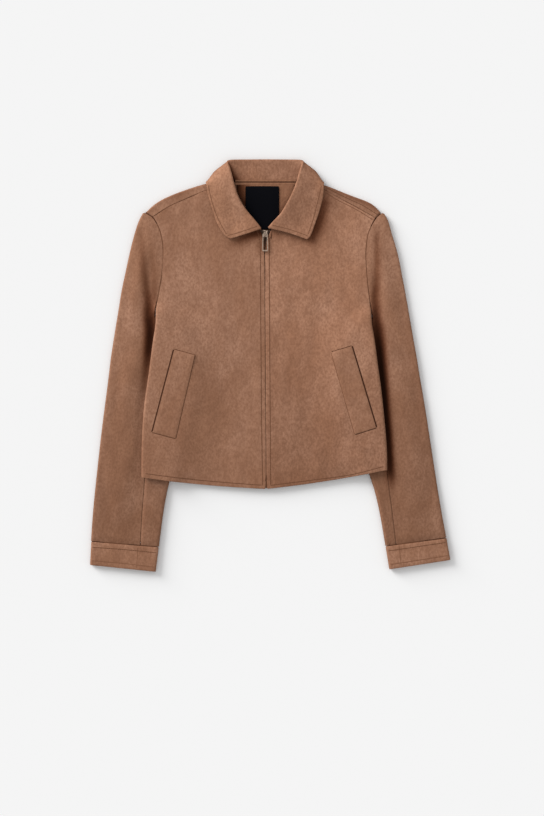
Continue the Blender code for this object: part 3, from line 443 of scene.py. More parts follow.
def shade_field(lines, x, y, power=2):
    """Strength of the shaded valleys at points: 0 clear, 1 deepest. A higher power gives a flatter floor."""
    total = np.zeros(len(x))
    for line in lines:
        for (x0, y0, strength0, width0), (x1, y1, strength1, width1) in zip(line, line[1:]):
            share, away = to_line((x0, y0), (x1, y1), x, y)
            width = width0 + (width1 - width0) * share
            strength = strength0 + (strength1 - strength0) * share
            total = np.maximum(total, strength * np.exp(-((away / width) ** power)))
    return total


def edge_distance(corners, x, y):
    """Distance of points from the sides of a polygon, in mm."""
    total = np.full(len(x), np.inf)
    for start, end in zip(corners, corners[1:] + corners[:1]):
        total = np.minimum(total, to_line(start, end, x, y)[1])
    return total


def blurred(values, sigma):
    """A grid's values averaged over their neighbours, sigma in cells."""
    reach = int(3 * sigma)
    kernel = np.exp(-0.5 * (np.arange(-reach, reach + 1) / sigma) ** 2)
    kernel /= kernel.sum()
    for axis in (0, 1):
        values = np.apply_along_axis(np.convolve, axis, values, kernel, "same")
    return values


class Drape:
    """Softer slopes for the fronts, where they lie over the sleeves: how far the cloth stands off its solid.

    It is kept on a grid over both fronts, in mm, and fades out at their edges, by the collar and at the zip.
    """

    STEP = 5.0
    X_ENDS = (-230.0, 216.0)
    Y_ENDS = (-222.0, 316.0)
    SOFTNESS = 24.0
    MOST_UP = 4.0
    MOST_DOWN = 0.9
    EDGE_GAIN = 2.6
    EDGE_START = 1.5
    TOP = 205.0
    TOP_FADE = 60.0
    ZIP_CLEAR = 12.0
    ZIP_FADE = 30.0
    LAST_BLUR = 1.6

    def __init__(self):
        graph = bpy.context.evaluated_depsgraph_get()
        fronts = [NODES[node] for node in ("front_panel_right", "front_panel_left")]
        trees = [BVHTree.FromObject(front, graph) for front in fronts]
        self.xs = np.arange(*self.X_ENDS, self.STEP)
        self.ys = np.arange(*self.Y_ENDS, self.STEP)
        height = np.zeros((len(self.xs), len(self.ys)))
        solid = np.zeros_like(height)
        for i, x in enumerate(self.xs):
            for j, y in enumerate(self.ys):
                hit, _ = highest_face(trees, x, y)
                if hit is not None:
                    height[i, j] = hit.z / MM
                    solid[i, j] = 1.0
        cells = self.SOFTNESS / self.STEP
        share = blurred(solid, cells)
        soft = blurred(height * solid, cells) / np.maximum(share, 1e-6)
        inner = np.clip(blurred(solid, cells * 0.5) * self.EDGE_GAIN - self.EDGE_START, 0, 1)
        offset = np.clip(soft - height, -self.MOST_DOWN, self.MOST_UP) * solid * inner
        offset *= falling(self.ys, self.TOP, self.TOP_FADE)[None, :]
        offset *= rising(np.abs(self.xs - ZIP_X), self.ZIP_CLEAR, self.ZIP_FADE)[:, None]
        self.offset = blurred(offset, self.LAST_BLUR)

    def at(self, x, y):
        """The offset at points of the table, in mm."""
        u = np.clip((x - self.xs[0]) / self.STEP, 0, len(self.xs) - 1.001)
        v = np.clip((y - self.ys[0]) / self.STEP, 0, len(self.ys) - 1.001)
        i, j = u.astype(int), v.astype(int)
        u, v = u - i, v - j
        near = self.offset[i, j] * (1 - v) + self.offset[i, j + 1] * v
        far = self.offset[i + 1, j] * (1 - v) + self.offset[i + 1, j + 1] * v
        return near * (1 - u) + far * u


def front_form(node, x, y, drape):
    """Lift, painted shade and painted shadow of a front or a welt: creased and draped, but calm beside the
    zip; the shade and shadow are those of the collar leaves and the pull.
    """
    lift = 0.72 * crease_field(FRONT_CREASES, x, y) + 0.22 * waves(x, y, 46, 3)
    lift += 0.10 * waves(x, y, 17, 5)
    lift *= np.maximum(rising(np.abs(x - ZIP_X), 1, 10), 0.15)
    lift = np.maximum(lift, FRONT_DEEPEST) + drape.at(x, y)
    if node in WELTS:
        from_edge = np.clip(edge_distance(WELTS[node][-1], x, y) / WELT_EDGE, 0, 1)
        lift -= WELT_SUNK + WELT_EDGE_SUNK * (1 - from_edge ** WELT_ROUNDNESS)
    return lift, shade_field(COLLAR_SHADE, x, y), shade_field(COLLAR_DEEP, x, y)


def sleeve_form(x, y, z):
    """Lift, painted shade and painted shadow of a sleeve or cuff: only its upper layer is creased and painted
    with shade and shadow.
    """
    uneven = 0.25 * waves(x, y, 38, 11) + 0.12 * waves(x, y, 15, 7)
    lift = rising(z, 3.2, 3.0) * (1.5 * crease_field(SLEEVE_CREASES, x, y) + uneven)
    upper = rising(z, 2.8, 0.8)
    shade = upper * shade_field(VALLEYS, x, y)
    return np.maximum(lift, SLEEVE_DEEPEST), shade, upper * shade_field(CREVICES, x, y, 3)


def collar_form(x, y, z):
    """Lift, painted shade and painted shadow of the collar: its leaves' edges stand up, shade is painted on
    its inside and on its side at larger x, and shadow beside the right leaf.
    """
    behind_seam = rising(y, COLLAR_INSIDE_Y, 6)
    roll_x = np.interp(-y, [-row[1] for row in NECK_DEEP[0]], [row[0] for row in NECK_DEEP[0]])
    beside_leaf = falling(z, 15.5, 2.0) * behind_seam * rising(x, roll_x - 2.5, 2)
    painted_shadow = beside_leaf * shade_field(NECK_DEEP, x, y)
    inside = falling(z, 11.5, 2.0) * behind_seam
    # Painted shade: on the collar's inside, and growing towards larger x.
    shade = np.maximum(0.38 * inside, 0.26 * rising(x, -25, 50))
    top = rising(z, 6.0, 3.0)
    lift = top * (crease_field(COLLAR_CREASES, x, y) + 0.18 * waves(x, y, 30, 9))
    return lift + top * shade_field(COLLAR_EDGES, x, y), shade, painted_shadow


def shape(node, points, drape):
    """Moves a shell's points up or down, in mm, and gives the painted shade and the painted shadow at each.
    """
    p = points / MM
    x, y = p[:, 0] - SHIFT[0], p[:, 1] - SHIFT[1]
    z = p[:, 2]
    lift, shade, painted_shadow = (np.zeros(len(x)) for _ in range(3))
    if node.startswith(("front", "pocket")):
        lift, shade, painted_shadow = front_form(node, x, y, drape)
    elif node.startswith(("sleeve", "cuff")):
        lift, shade, painted_shadow = sleeve_form(x, y, z)
    elif node == "collar":
        lift, shade, painted_shadow = collar_form(x, y, z)
    elif node == "back_panel":
        shade = rising(z, 5.5, 1.5) * shade_field(SHOULDER_SHADE, x, y)
    elif node == "neck_facing":
        painted_shadow = shade_field(NECK_DEEP, x, y)
    p[:, 2] += lift
    return p * MM, shade, painted_shadow


def painted_rim_shade(mesh):
    """Painted shade on the turned rims of a shell, where its normal leans away from straight up."""
    normals = np.empty(len(mesh.vertices) * 3)
    mesh.vertex_normals.foreach_get("vector", normals)
    return PAINTED_RIM_SHADE * np.clip(1 - normals[2::3] / RIM_LEVEL, 0, 1)


def build_shells(materials):
    """A cloth shell in place of each piece of suede."""
    drape = Drape()
    for node, (levels, material, width, length, area) in SUEDE_PIECES.items():
        mesh = smooth_copy(node, levels)
        moved, shade, painted_shadow = shape(node, read(mesh), drape)
        write(mesh, moved)
        # Painted shade, joined with the painted shade of the rims, and the painted shadow go to the material
        # as attributes.
        shade = 1 - (1 - shade) * (1 - painted_rim_shade(mesh))
        mesh.attributes.new("shade", "FLOAT", "POINT").data.foreach_set("value", shade)
        mesh.attributes.new("painted_shadow", "FLOAT", "POINT").data.foreach_set("value", painted_shadow)
        dressed(mesh, materials[material])
        shell = placed(node + "_cloth", mesh)
        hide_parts(node)
        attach(shell, "jacket")
        SHELLS[node] = shell


# Colours of the suede: its mean, where the nap is brushed up, and where it lies down.
SUEDE_BASE = (0.318, 0.156, 0.091)
SUEDE_LIGHT = (0.405, 0.216, 0.139)
SUEDE_DARK = (0.188, 0.082, 0.044)
# What the painted shade in the valleys and the painted near-black shadow in the deep crevices do to the nap's
# colour.
PAINTED_SHADE_TINT = (0.31, 0.17, 0.08, 1)
PAINTED_SHADOW_TINT = (1.0, 0.60, 0.38, 1)
PAINTED_SHADOW_COLOUR = (0.013, 0.0036, 0.0012, 1)
# The suede darkens from one y to the other, in metres, towards the hem.
FADE_ENDS = (0.16, -0.24)
FADE_TINT = (0.5, 0.46, 0.42, 1)


def new_group(name, inputs, outputs):
    """A node group with these sockets, and its own input and output nodes."""
    group = bpy.data.node_groups.new(name, "ShaderNodeTree")
    for label, kind, value in inputs:
        socket = group.interface.new_socket(label, in_out="INPUT", socket_type=kind)
        socket.default_value = value
    for label, kind in outputs:
        group.interface.new_socket(label, in_out="OUTPUT", socket_type=kind)
    return group, group.nodes.new("NodeGroupInput"), group.nodes.new("NodeGroupOutput")


def node_of(tree, kind, **values):
    """A node: names that start with in_ set its inputs, the others its own settings."""
    made = tree.nodes.new(kind)
    for key, value in values.items():
        if key.startswith("in_"):
            made.inputs[key[3:].replace("_", " ")].default_value = value
        else:
            setattr(made, key, value)
    return made


def feed(tree, socket, value):
    """Links an output to the socket, or sets the socket to a plain value."""
    if hasattr(value, "is_output"):
        tree.links.new(value, socket)
    else:
        socket.default_value = value


def mixed(tree, blend, factor, a, b):
    """The colours a and b, mixed."""
    made = node_of(tree, "ShaderNodeMix", data_type="RGBA", blend_type=blend)
    for index, value in ((0, factor), (6, a), (7, b)):
        feed(tree, made.inputs[index], value)
    return made.outputs[2]


def ramp_of(tree, source, low, high):
    """0 where the source is at the low value, 1 at the high one."""
    made = node_of(tree, "ShaderNodeMapRange")
    feed(tree, made.inputs["Value"], source)
    feed(tree, made.inputs["From Min"], low)
    feed(tree, made.inputs["From Max"], high)
    return made.outputs["Result"]


def combined(tree, operation, a, b):
    """Two numbers or outputs, multiplied or added."""
    made = node_of(tree, "ShaderNodeMath", operation=operation)
    feed(tree, made.inputs[0], a)
    feed(tree, made.inputs[1], b)
    return made.outputs[0]


def relief_of(tree, height, strength, distance):
    """The normal of a bumpy surface; the distance is in metres."""
    made = node_of(tree, "ShaderNodeBump", in_Distance=distance)
    feed(tree, made.inputs["Strength"], strength)
    feed(tree, made.inputs["Height"], height)
    return made.outputs[0]


def noise_of(tree, place, scale, detail, rough=0.5, stretch=(1, 1, 1), distort=0.0):
    """Cloudy noise between 0 and 1; the stretch is the scale along each axis."""
    mapping = node_of(tree, "ShaderNodeMapping", in_Scale=stretch)
    feed(tree, mapping.inputs["Vector"], place)
    made = node_of(tree, "ShaderNodeTexNoise", in_Detail=detail, in_Roughness=rough, in_Distortion=distort)
    feed(tree, made.inputs["Scale"], scale)
    feed(tree, made.inputs["Vector"], mapping.outputs[0])
    return made.outputs["Fac"]


def suede_group():
    """Nap of suede: broad brushed patches, flecks, fine grain and the relief of the nap, with painted shade
    and near-black painted shadow from the shells, and a darkening towards the hem.
    """
    group, inside, outside = new_group(
        "suede_nap_and_painted_shade",
        [
            ("Base", "NodeSocketColor", (0.3, 0.15, 0.09, 1)),
            ("Light", "NodeSocketColor", (0.4, 0.2, 0.13, 1)),
            ("Dark", "NodeSocketColor", (0.2, 0.1, 0.06, 1)),
            ("Offset", "NodeSocketVector", (0, 0, 0)),
            ("Fade", "NodeSocketFloat", 0.2),
        ],
        [("Color", "NodeSocketColor"), ("Normal", "NodeSocketVector")],
    )
    base, light, dark, offset, fade = inside.outputs[:5]
    where = node_of(group, "ShaderNodeTexCoord").outputs["Object"]
    moved = node_of(group, "ShaderNodeVectorMath", operation="ADD")
    feed(group, moved.inputs[0], where)
    feed(group, moved.inputs[1], offset)
    place = moved.outputs[0]

    clouds = noise_of(group, place, 9, 3, 0.55, stretch=(1.3, 0.8, 1), distort=0.7)
    strokes = noise_of(group, place, 48, 5, 0.62, stretch=(1.0, 0.5, 1), distort=0.6)
    specks = noise_of(group, place, 300, 3, 0.6, stretch=(1.0, 0.7, 1))
    points = noise_of(group, place, 1500, 2, 0.6)
    broad = ramp_of(group, clouds, 0.38, 0.64)
    brushed = ramp_of(group, strokes, 0.36, 0.66)
    fleck = ramp_of(group, specks, 0.38, 0.64)
    grain = ramp_of(group, points, 0.3, 0.7)

    colour = mixed(group, "MIX", broad, base, light)
    for layer, share, tint in ((brushed, 0.42, dark), (fleck, 0.56, dark), (grain, 0.20, light)):
        colour = mixed(group, "MIX", combined(group, "MULTIPLY", layer, share), colour, tint)
    # Painted shade, from the shells' shade attribute.
    shade = node_of(group, "ShaderNodeAttribute", attribute_name="shade").outputs["Fac"]
    colour = mixed(group, "MULTIPLY", combined(group, "MULTIPLY", shade, 0.72), colour, PAINTED_SHADE_TINT)
    apart = node_of(group, "ShaderNodeSeparateXYZ")
    feed(group, apart.inputs[0], where)
    towards_hem = ramp_of(group, apart.outputs["Y"], *FADE_ENDS)
    colour = mixed(group, "MULTIPLY", combined(group, "MULTIPLY", towards_hem, fade), colour, FADE_TINT)
    # Painted near-black shadow, from the shells' other attribute.
    painted_shadow = node_of(group, "ShaderNodeAttribute", attribute_name="painted_shadow").outputs["Fac"]
    colour = mixed(group, "MULTIPLY", painted_shadow, colour, PAINTED_SHADOW_TINT)
    colour = mixed(group, "MIX", painted_shadow, colour, PAINTED_SHADOW_COLOUR)
    feed(group, outside.inputs["Color"], colour)

    height = combined(group, "MULTIPLY", brushed, 0.5)
    for layer, weight in ((fleck, 0.35), (grain, 0.15)):
        height = combined(group, "ADD", height, combined(group, "MULTIPLY", layer, weight))
    feed(group, outside.inputs["Normal"], relief_of(group, height, 0.55, 0.0005))
    return group


def grain_group():
    """A fine unevenness in colour and relief, for thread, ribbon and the dark of the seams."""
    group, inside, outside = new_group(
        "fine_grain",
        [
            ("Low", "NodeSocketColor", (0.2, 0.2, 0.2, 1)),
            ("High", "NodeSocketColor", (0.3, 0.3, 0.3, 1)),
            ("Scale", "NodeSocketFloat", 1500.0),
            ("Relief", "NodeSocketFloat", 0.2),
        ],
        [("Color", "NodeSocketColor"), ("Normal", "NodeSocketVector")],
    )
    low, high, scale, relief = inside.outputs[:4]
    where = node_of(group, "ShaderNodeTexCoord").outputs["Object"]
    noise = noise_of(group, where, scale, 4)
    feed(group, outside.inputs["Color"], mixed(group, "MIX", noise, low, high))
    feed(group, outside.inputs["Normal"], relief_of(group, noise, relief, 0.0003))
    return group


def tarnish_group():
    """Old brass: rubbed bright, with tarnish in patches. A lower range leaves more of it dark."""
    group, inside, outside = new_group(
        "tarnish",
        [
            ("Bright", "NodeSocketColor", (0.7, 0.5, 0.4, 1)),
            ("Dark", "NodeSocketColor", (0.2, 0.1, 0.08, 1)),
            ("From", "NodeSocketFloat", 0.4),
            ("To", "NodeSocketFloat", 0.6),
        ],
        [("Color", "NodeSocketColor"), ("Normal", "NodeSocketVector")],
    )
    bright, dark, start, end = inside.outputs[:4]
    where = node_of(group, "ShaderNodeTexCoord").outputs["Object"]
    noise = noise_of(group, where, 620, 3)
    patch = ramp_of(group, noise, start, end)
    feed(group, outside.inputs["Color"], mixed(group, "MIX", patch, bright, dark))
    feed(group, outside.inputs["Normal"], relief_of(group, noise, 0.25, 0.0003))
    return group


def weave_group():
    """The fine ribs of a satin weave, as relief."""
    group, inside, outside = new_group(
        "satin_weave",
        [("Scale", "NodeSocketFloat", 420.0), ("Relief", "NodeSocketFloat", 0.3)],
        [("Normal", "NodeSocketVector")],
    )
    where = node_of(group, "ShaderNodeTexCoord").outputs["Object"]
    wave = node_of(group, "ShaderNodeTexWave", wave_type="BANDS", bands_direction="X")
    feed(group, wave.inputs["Scale"], inside.outputs["Scale"])
    feed(group, wave.inputs["Vector"], where)
    relief = relief_of(group, wave.outputs["Fac"], inside.outputs["Relief"], 0.0002)
    feed(group, outside.inputs["Normal"], relief)
    return group


def place_group(material, group, **values):
    """The group in a material, with its own values, feeding whichever of colour and normal it puts out."""
    tree = material.node_tree
    effect = tree.nodes.new("ShaderNodeGroup")
    effect.node_tree = group
    for label, value in values.items():
        effect.inputs[label].default_value = value
    shader = tree.nodes["Principled BSDF"]
    for label, target in (("Color", "Base Color"), ("Normal", "Normal")):
        if label in effect.outputs:
            tree.links.new(effect.outputs[label], shader.inputs[target])


def new_material(name, roughness, specular=0.5, metallic=0.0):
    """A material with its plain values set on the shader itself."""
    material = bpy.data.materials.new(name)
    material.use_nodes = True
    shader = material.node_tree.nodes["Principled BSDF"]
    shader.inputs["Roughness"].default_value = roughness
    shader.inputs["Metallic"].default_value = metallic
    shader.inputs["Specular IOR Level"].default_value = specular
    return material


def suede(name, group, base, light, offset, fade=0.2):
    """Brushed suede. The offset gives each piece its own stretch of nap; the fade darkens it at the hem."""
    material = new_material(name, 0.95, 0.08)
    place_group(
        material, group, Base=(*base, 1), Light=(*light, 1), Dark=(*SUEDE_DARK, 1), Offset=offset, Fade=fade
    )
    shader = material.node_tree.nodes["Principled BSDF"]
    shader.inputs["Sheen Weight"].default_value = 0.06
    shader.inputs["Sheen Roughness"].default_value = 0.45
    shader.inputs["Sheen Tint"].default_value = (0.85, 0.62, 0.48, 1)
    return material


def grained(name, group, colour, roughness, specular, scale, relief):
    """A simple finish with a fine grain, up to a fifth lighter or darker than its colour."""
    material = new_material(name, roughness, specular)
    low = [c * 0.8 for c in colour]
    high = [min(c * 1.2, 1) for c in colour]
    place_group(material, group, Low=(*low, 1), High=(*high, 1), Scale=scale, Relief=relief)
    return material


def woven(name, groups, colour, roughness, specular):
    """Fine satin weave, as on the label and the zip tape."""
    grain, weave = groups
    material = grained(name, grain, colour, roughness, specular, 700, 0.2)
    place_group(material, weave, Scale=420.0, Relief=0.3)
    return material


def worn_metal(name, group, bright, dark, start, end):
    """Old brass, tarnished where the patches reach over the range."""
    material = new_material(name, 0.32, metallic=1.0)
    place_group(material, group, Bright=(*bright, 1), Dark=(*dark, 1), From=start, To=end)
    return material


def build_materials():
    """All materials, by the names that the tables use."""
    # The nap's group also paints the shells' shade and shadow into the suede.
    nap, grain, tarnish, weave = suede_group(), grain_group(), tarnish_group(), weave_group()
    base, light = SUEDE_BASE, SUEDE_LIGHT
    made = {}
    for name, own_base, own_light, offset, fade in (
        ("suede_back", base, light, (3.1, 0.4, 0), 0.2),
        ("suede_front", base, light, (0, 0, 0), 0.2),
        # The left front's own copy of the suede is painted lighter, as painted light, and darkens more
        # towards the hem.
        ("suede_front_left_painted_light", (0.372, 0.181, 0.106), (0.465, 0.246, 0.158), (0, 0, 0), 0.62),
        ("suede_sleeve", base, light, (1.3, 2.2, 0), 0.45),
        ("suede_cuff", (0.342, 0.168, 0.098), (0.43, 0.229, 0.147), (0.4, 1.7, 0), 0.2),
        # The collar's suede is painted lighter; its painted shade darkens the inside and the leaf at larger
        # x, so the leaf at smaller x keeps painted light.
        ("suede_collar", (0.394, 0.194, 0.113), (0.46, 0.245, 0.157), (2.4, 0.9, 0), 0.2),
        ("suede_facing", (0.31, 0.147, 0.083), base, (0.9, 3.3, 0), 0.2),
        ("suede_welt", base, light, (2.9, 1.1, 0), 0.2),
    ):
        made[name] = suede(name, nap, own_base, own_light, offset, fade)
    made["label_black"] = woven("label_black", (grain, weave), (0.003, 0.003, 0.0045), 0.85, 0.04)
    made["zip_tape"] = woven("zip_tape", (grain, weave), (0.060, 0.029, 0.017), 0.6, 0.3)
    for name, bright, dark, start, end in (
        ("zip_metal", (0.60, 0.455, 0.355), (0.20, 0.135, 0.09), 0.46, 0.72),
        ("slider_metal", (0.78, 0.60, 0.48), (0.10, 0.065, 0.042), 0.40, 0.58),
    ):
        made[name] = worn_metal(name, tarnish, bright, dark, start, end)
    made["thread"] = grained("thread_tan", grain, (0.23, 0.106, 0.059), 0.8, 0.2, 2500, 0.2)
    for name, colour in (
        ("seam_dark", (0.058, 0.023, 0.012)),
        ("seam", (0.120, 0.050, 0.026)),
        ("seam_soft", (0.190, 0.086, 0.047)),
        ("seam_fold", (0.150, 0.066, 0.036)),
    ):
        made[name] = grained("suede_" + name, grain, colour, 0.95, 0.05, 1500, 0.3)
    return made


# Width of the rounded edges, in metres.
METAL_EDGE = 0.0004
TAPE_EDGE = 0.0002


def finish_zip(materials):
    """The zip's nodes keep their solids and get rounded edges and a finish of their own."""
    for node, material, width in (
        ("zip_slider", "slider_metal", METAL_EDGE),
        ("pull_tab", "zip_metal", METAL_EDGE),
        ("zip_stop", "zip_metal", METAL_EDGE),
        ("zip_tape_right", "zip_tape", TAPE_EDGE),
        ("zip_tape_left", "zip_tape", TAPE_EDGE),
    ):
        thing = NODES[node]
        thing.data.materials.clear()
        thing.data.materials.append(materials[material])
        edge = thing.modifiers.new("edge", "BEVEL")
        edge.width = width
        edge.segments = 2
        edge.limit_method = "ANGLE"


def build_label(materials):
    """The bare inner label, as a smooth shell in place of its solid."""
    mesh = smooth_copy("inner_label", 2)
    dressed(mesh, materials["label_black"])
    label = placed("inner_label_cloth", mesh)
    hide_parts("inner_label")
    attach(label, "jacket")


# Distance between the corners of a seam line and of a backing, in mm.
SEAM_STEP = 2.2
BACKING_STEP = 4.0
# A backing lies below the lowest face found this far to either side of its line, in mm.
BACKING_REACH = 2.4
# Half width of the dark band painted as the shade of the groove under a row of stitches, in mm.
GROOVE_HALF = 0.62
# Stitches: distance from one to the next, length and half thickness, in mm.
STITCH_PITCH = 3.1
STITCH_LENGTH = 2.3
STITCH_THICK = 0.30
STITCH_SIDES = 5
# Rings of one stitch: share of its length, share of its thickness, rise in mm.
STITCH_RINGS = ((-0.5, 0.35, -0.20), (-0.3, 0.9, 0.06), (0.3, 0.9, 0.06), (0.5, 0.35, -0.20))
# The neck strips run between these x, with so many corners, at the height of the facing at the seam's y.
STRIP_ENDS = (-60.0, 46.5)
STRIP_CORNERS = 28
STRIP_SEAM_Y = 317.2
FACING_ENDS = (-57.0, 42.5)
# Rays come down from this height, in metres.
RAY_HEIGHT = 0.06


def polyline(points, step):
    """Points along a smooth line at even steps, in mm."""
    rows = np.array(points, float)
    padded = np.vstack([2 * rows[0] - rows[1], rows, 2 * rows[-1] - rows[-2]])
    fine = []
    for k in range(len(rows) - 1):
        a, b, c, d = padded[k : k + 4]
        for t in np.linspace(0, 1, 24, endpoint=False):
            square = (2 * a - 5 * b + 4 * c - d) * t * t
            cube = (3 * b - a - 3 * c + d) * t ** 3
            fine.append(0.5 * (2 * b + (c - a) * t + square + cube))
    fine.append(rows[-1])
    fine = np.array(fine)
    lengths = np.concatenate([[0], np.cumsum(np.linalg.norm(np.diff(fine, axis=0), axis=1))])
    count = max(int(lengths[-1] / step), 2)
    at = np.linspace(0, lengths[-1], count)
    return np.column_stack([np.interp(at, lengths, fine[:, i]) for i in range(2)])


def across_line(line, k):
    """The direction across a line at one of its points, 1 long."""
    run = line[min(k + 1, len(line) - 1)] - line[max(k - 1, 0)]
    return np.array((-run[1], run[0])) / np.linalg.norm(run)


def new_piece(name, bm, material):
    """A smooth-shaded object that lies on the jacket, from a bmesh."""
    mesh = bpy.data.meshes.new(name)
    bmesh.ops.recalc_face_normals(bm, faces=bm.faces)
    bm.to_mesh(mesh)
    bm.free()
    dressed(mesh, material)
    made = placed(name, mesh)
    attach(made, "jacket")


def strip_faces(bm, rows, width):
    """Faces between rows of corners that follow one another, but none beside a row that misses a corner."""
    for first, second in zip(rows, rows[1:]):
        if len(first) == width == len(second):
            for k in range(width - 1):
                bm.faces.new((first[k], first[k + 1], second[k + 1], second[k]))


def trees_of(carriers):
    """The carriers' shells, ready for rays."""
    graph = bpy.context.evaluated_depsgraph_get()
    return [BVHTree.FromObject(SHELLS[carrier], graph) for carrier in carriers]


def face_above(tree, x, y):
    """The carrier's upper face at a point of the table, as place and normal."""
    start = Vector(((x + SHIFT[0]) * MM, (y + SHIFT[1]) * MM, RAY_HEIGHT))
    hit, normal, _, _ = tree.ray_cast(start, Vector((0, 0, -1)))
    return hit, normal


def highest_face(trees, x, y):
    """The uppermost of the carriers' faces at a point of the table."""
    found = [face_above(tree, x, y) for tree in trees]
    found = [pair for pair in found if pair[0] is not None]
    return max(found, key=lambda pair: pair[0].z) if found else (None, None)


def seam_line(name, carriers, half, points, material, rise=0.05):
    """A narrow dark band along a seam, close over the nap."""
    trees = trees_of(carriers)
    line = polyline(points, SEAM_STEP)
    bm = bmesh.new()
    rows = []
    for k, point in enumerate(line):
        across = across_line(line, k) * half
        row = []
        for share in (-1.0, 1.0):
            hit, normal = highest_face(trees, *(point + across * share))
            if hit is not None:
                row.append(bm.verts.new(hit + normal * rise * MM))
        rows.append(row)
    strip_faces(bm, rows, 2)
    new_piece(name, bm, material)


def seam_backing(name, carriers, half, drop, points, material):
    """A band of the same suede under a seam, as its turned-in allowance, so that no floor shows through."""
    trees = trees_of(carriers)
    line = polyline(points, BACKING_STEP)
    bm = bmesh.new()
    rows = []
    for k, point in enumerate(line):
        across = across_line(line, k)
        tops = []
        for tree in trees:
            for reach in (-BACKING_REACH, BACKING_REACH):
                hit, _ = face_above(tree, *(point + across * reach))
                if hit is not None:
                    tops.append(hit.z)
        if not tops:
            continue
        z = min(tops) - drop * MM
        row = []
        for share in (-1.0, 0.0, 1.0):
            x, y = (point + across * share * half + SHIFT) * MM
            row.append(bm.verts.new((x, y, z)))
        rows.append(row)
    strip_faces(bm, rows, 3)
    new_piece(name, bm, material)


def neck_strip(name, material, edges):
    """A strip of the neck seam's turned-in edge, over the facing's top and the collar's foot."""
    tree = trees_of(["neck_facing"])[0]
    first_x, last_x = FACING_ENDS
    bm = bmesh.new()
    rows = []
    for x in np.linspace(*STRIP_ENDS, STRIP_CORNERS):
        hit, _ = face_above(tree, min(max(x, first_x), last_x), STRIP_SEAM_Y)
        row = []
        for y, rise in edges:
            row.append(bm.verts.new(((x + SHIFT[0]) * MM, (y + SHIFT[1]) * MM, hit.z + rise * MM)))
        rows.append(row)
    strip_faces(bm, rows, len(edges))
    new_piece(name, bm, material)


def welt_lines(name, front, ends, corners, materials):
    """The lines round a set-in welt: its mouth at the side, a wide near-black band painted as the shade of
    the pocket's opening, a fine inner seam and the two short ends.
    """
    top_in, top_out, low_out, low_in = [np.array(corner, float) for corner in corners]
    middle = (top_in + top_out + low_out + low_in) / 4
    for label, a, b, half, material in (
        ("mouth", top_out, low_out, 1.25, "seam_dark"),
        ("inner", top_in, low_in, 0.42, "seam"),
        ("top", top_in, top_out, 0.6, ends),
        ("foot", low_in, low_out, 0.6, ends),
    ):
        run = (b - a) / np.linalg.norm(b - a)
        out = np.array((run[1], -run[0]))
        if np.dot(out, (a + b) / 2 - middle) < 0:
            out = -out
        line = [a + run * 0.8 + out * 0.3, (a + b) / 2 + out * 0.35, b - run * 0.8 + out * 0.3]
        seam_line(name + "_" + label, (front, name), half, line, materials[material], rise=0.08)


def stitch_row(name, carrier, points, material):
    """Short raised stitches laid on the carrier's upper face along a line."""
    tree = trees_of([carrier])[0]
    line = polyline(points, STITCH_PITCH)
    bm = bmesh.new()
    for a, b in zip(line, line[1:]):
        run = (b - a) / np.linalg.norm(b - a)
        hit, normal = face_above(tree, *((a + b) / 2))
        if hit is None:
            continue
        forward = Vector((run[0], run[1], 0))
        forward -= normal * forward.dot(normal)
        forward.normalize()
        side = normal.cross(forward)
        rings = []
        for share, width, rise in STITCH_RINGS:
            centre = hit + forward * (share * STITCH_LENGTH * MM) + normal * (rise * MM)
            ring = []
            for k in range(STITCH_SIDES):
                turn = 2 * math.pi * k / STITCH_SIDES
                out = side * math.cos(turn) + normal * math.sin(turn)
                ring.append(bm.verts.new(centre + out * STITCH_THICK * width * MM))
            rings.append(ring)
        for first, second in zip(rings, rings[1:]):
            for k in range(STITCH_SIDES):
                after = (k + 1) % STITCH_SIDES
                bm.faces.new((first[k], first[after], second[after], second[k]))
        bm.faces.new(rings[0][::-1])
        bm.faces.new(rings[-1])
    new_piece(name, bm, material)


def build_seams(materials):
    """Every seam line, row of stitches, welt line, neck strip and backing."""
    for name, (carrier, groove, points) in ROWS.items():
        # A dark band painted as the groove's shade, under the stitches.
        seam_line(name + "_groove", (carrier,), GROOVE_HALF, points, materials[groove])
        stitch_row(name, carrier, points, materials["thread"])
    for name, (carriers, groove, half, points) in SEAMS.items():
        seam_line(name, carriers, half, points, materials[groove])
    for name, (front, ends, corners) in WELTS.items():
        welt_lines(name, front, ends, corners, materials)
    for name, (material, edges) in NECK_STRIPS.items():
        neck_strip(name, materials[material], edges)
    for name, (carriers, half, drop, points) in BACKINGS.items():
        groove = "seam_soft" if name.startswith("sleeve") else "seam_fold"
        seam_backing(name, carriers, half, drop, points, materials[groove])


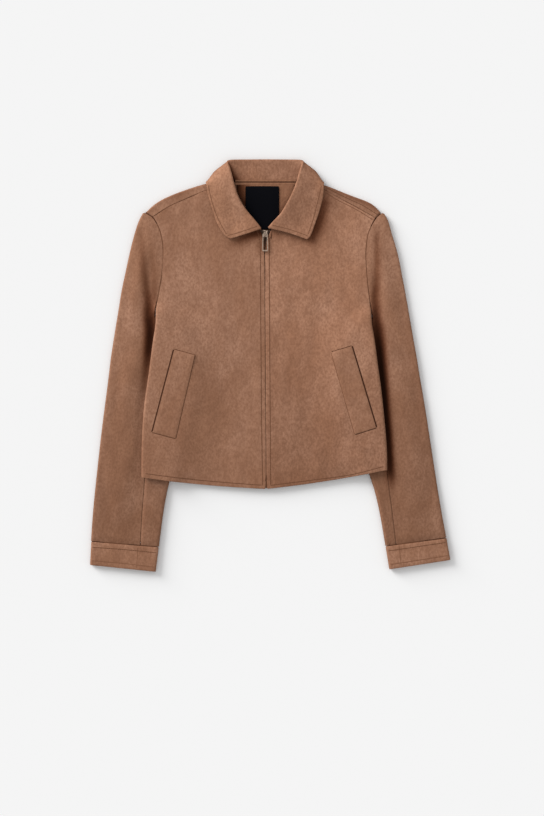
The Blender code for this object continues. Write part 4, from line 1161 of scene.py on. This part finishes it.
# The soft key comes from the upper left; the sky fills the shadows. The key's width is in radians.
SKY = 0.64
KEY = 3.7
KEY_WIDTH = 0.55
KEY_FROM = (-0.62, 0.50, 0.28)
KEY_PLACE = (-1.2, 1.2, 1.4)
# The floor lies a little below the cloth.
FLOOR_HALF = 4
FLOOR_DROP = 0.0002
FLOOR_GREY = 0.885
# The camera looks straight down: the height it shows at its distance, in metres, and its sensor, in mm.
SENSOR = 36.0
VIEW_DISTANCE = 3.0
VIEW_HEIGHT = 1.428
CAMERA_PLACE = (0.0032, -0.0746, 3.008)


def build_floor():
    """A plain pale floor."""
    half = FLOOR_HALF
    mesh = bpy.data.meshes.new("floor")
    corners = [(-half, -half, 0), (half, -half, 0), (half, half, 0), (-half, half, 0)]
    mesh.from_pydata(corners, [], [(0, 1, 2, 3)])
    floor = placed("floor", mesh)
    floor.location = (0, 0, -FLOOR_DROP)
    paper = new_material("pale_floor", 1.0, 0.0)
    shader = paper.node_tree.nodes["Principled BSDF"]
    shader.inputs["Base Color"].default_value = (FLOOR_GREY, FLOOR_GREY, FLOOR_GREY, 1)
    mesh.materials.append(paper)


def build_light_and_camera():
    """A white sky, one wide key light and the camera."""
    scene = bpy.context.scene
    world = bpy.data.worlds.new("studio")
    scene.world = world
    world.use_nodes = True
    sky = world.node_tree.nodes["Background"]
    sky.inputs["Color"].default_value = (1, 1, 1, 1)
    sky.inputs["Strength"].default_value = SKY
    scene.view_settings.view_transform = "Standard"
    light = bpy.data.lights.new("key", "SUN")
    light.energy = KEY
    light.angle = KEY_WIDTH
    key = placed("key", light)
    key.rotation_euler = Vector(KEY_FROM).to_track_quat("Z", "Y").to_euler()
    key.location = KEY_PLACE
    lens = bpy.data.cameras.new("camera")
    lens.sensor_width = SENSOR
    lens.lens = SENSOR * VIEW_DISTANCE / VIEW_HEIGHT
    camera = placed("camera", lens)
    camera.location = CAMERA_PLACE
    scene.camera = camera


def main():
    materials = build_materials()
    build_shells(materials)
    finish_zip(materials)
    build_label(materials)
    bpy.context.view_layer.update()
    build_seams(materials)
    build_floor()
    build_light_and_camera()
    bpy.context.view_layer.update()


main()
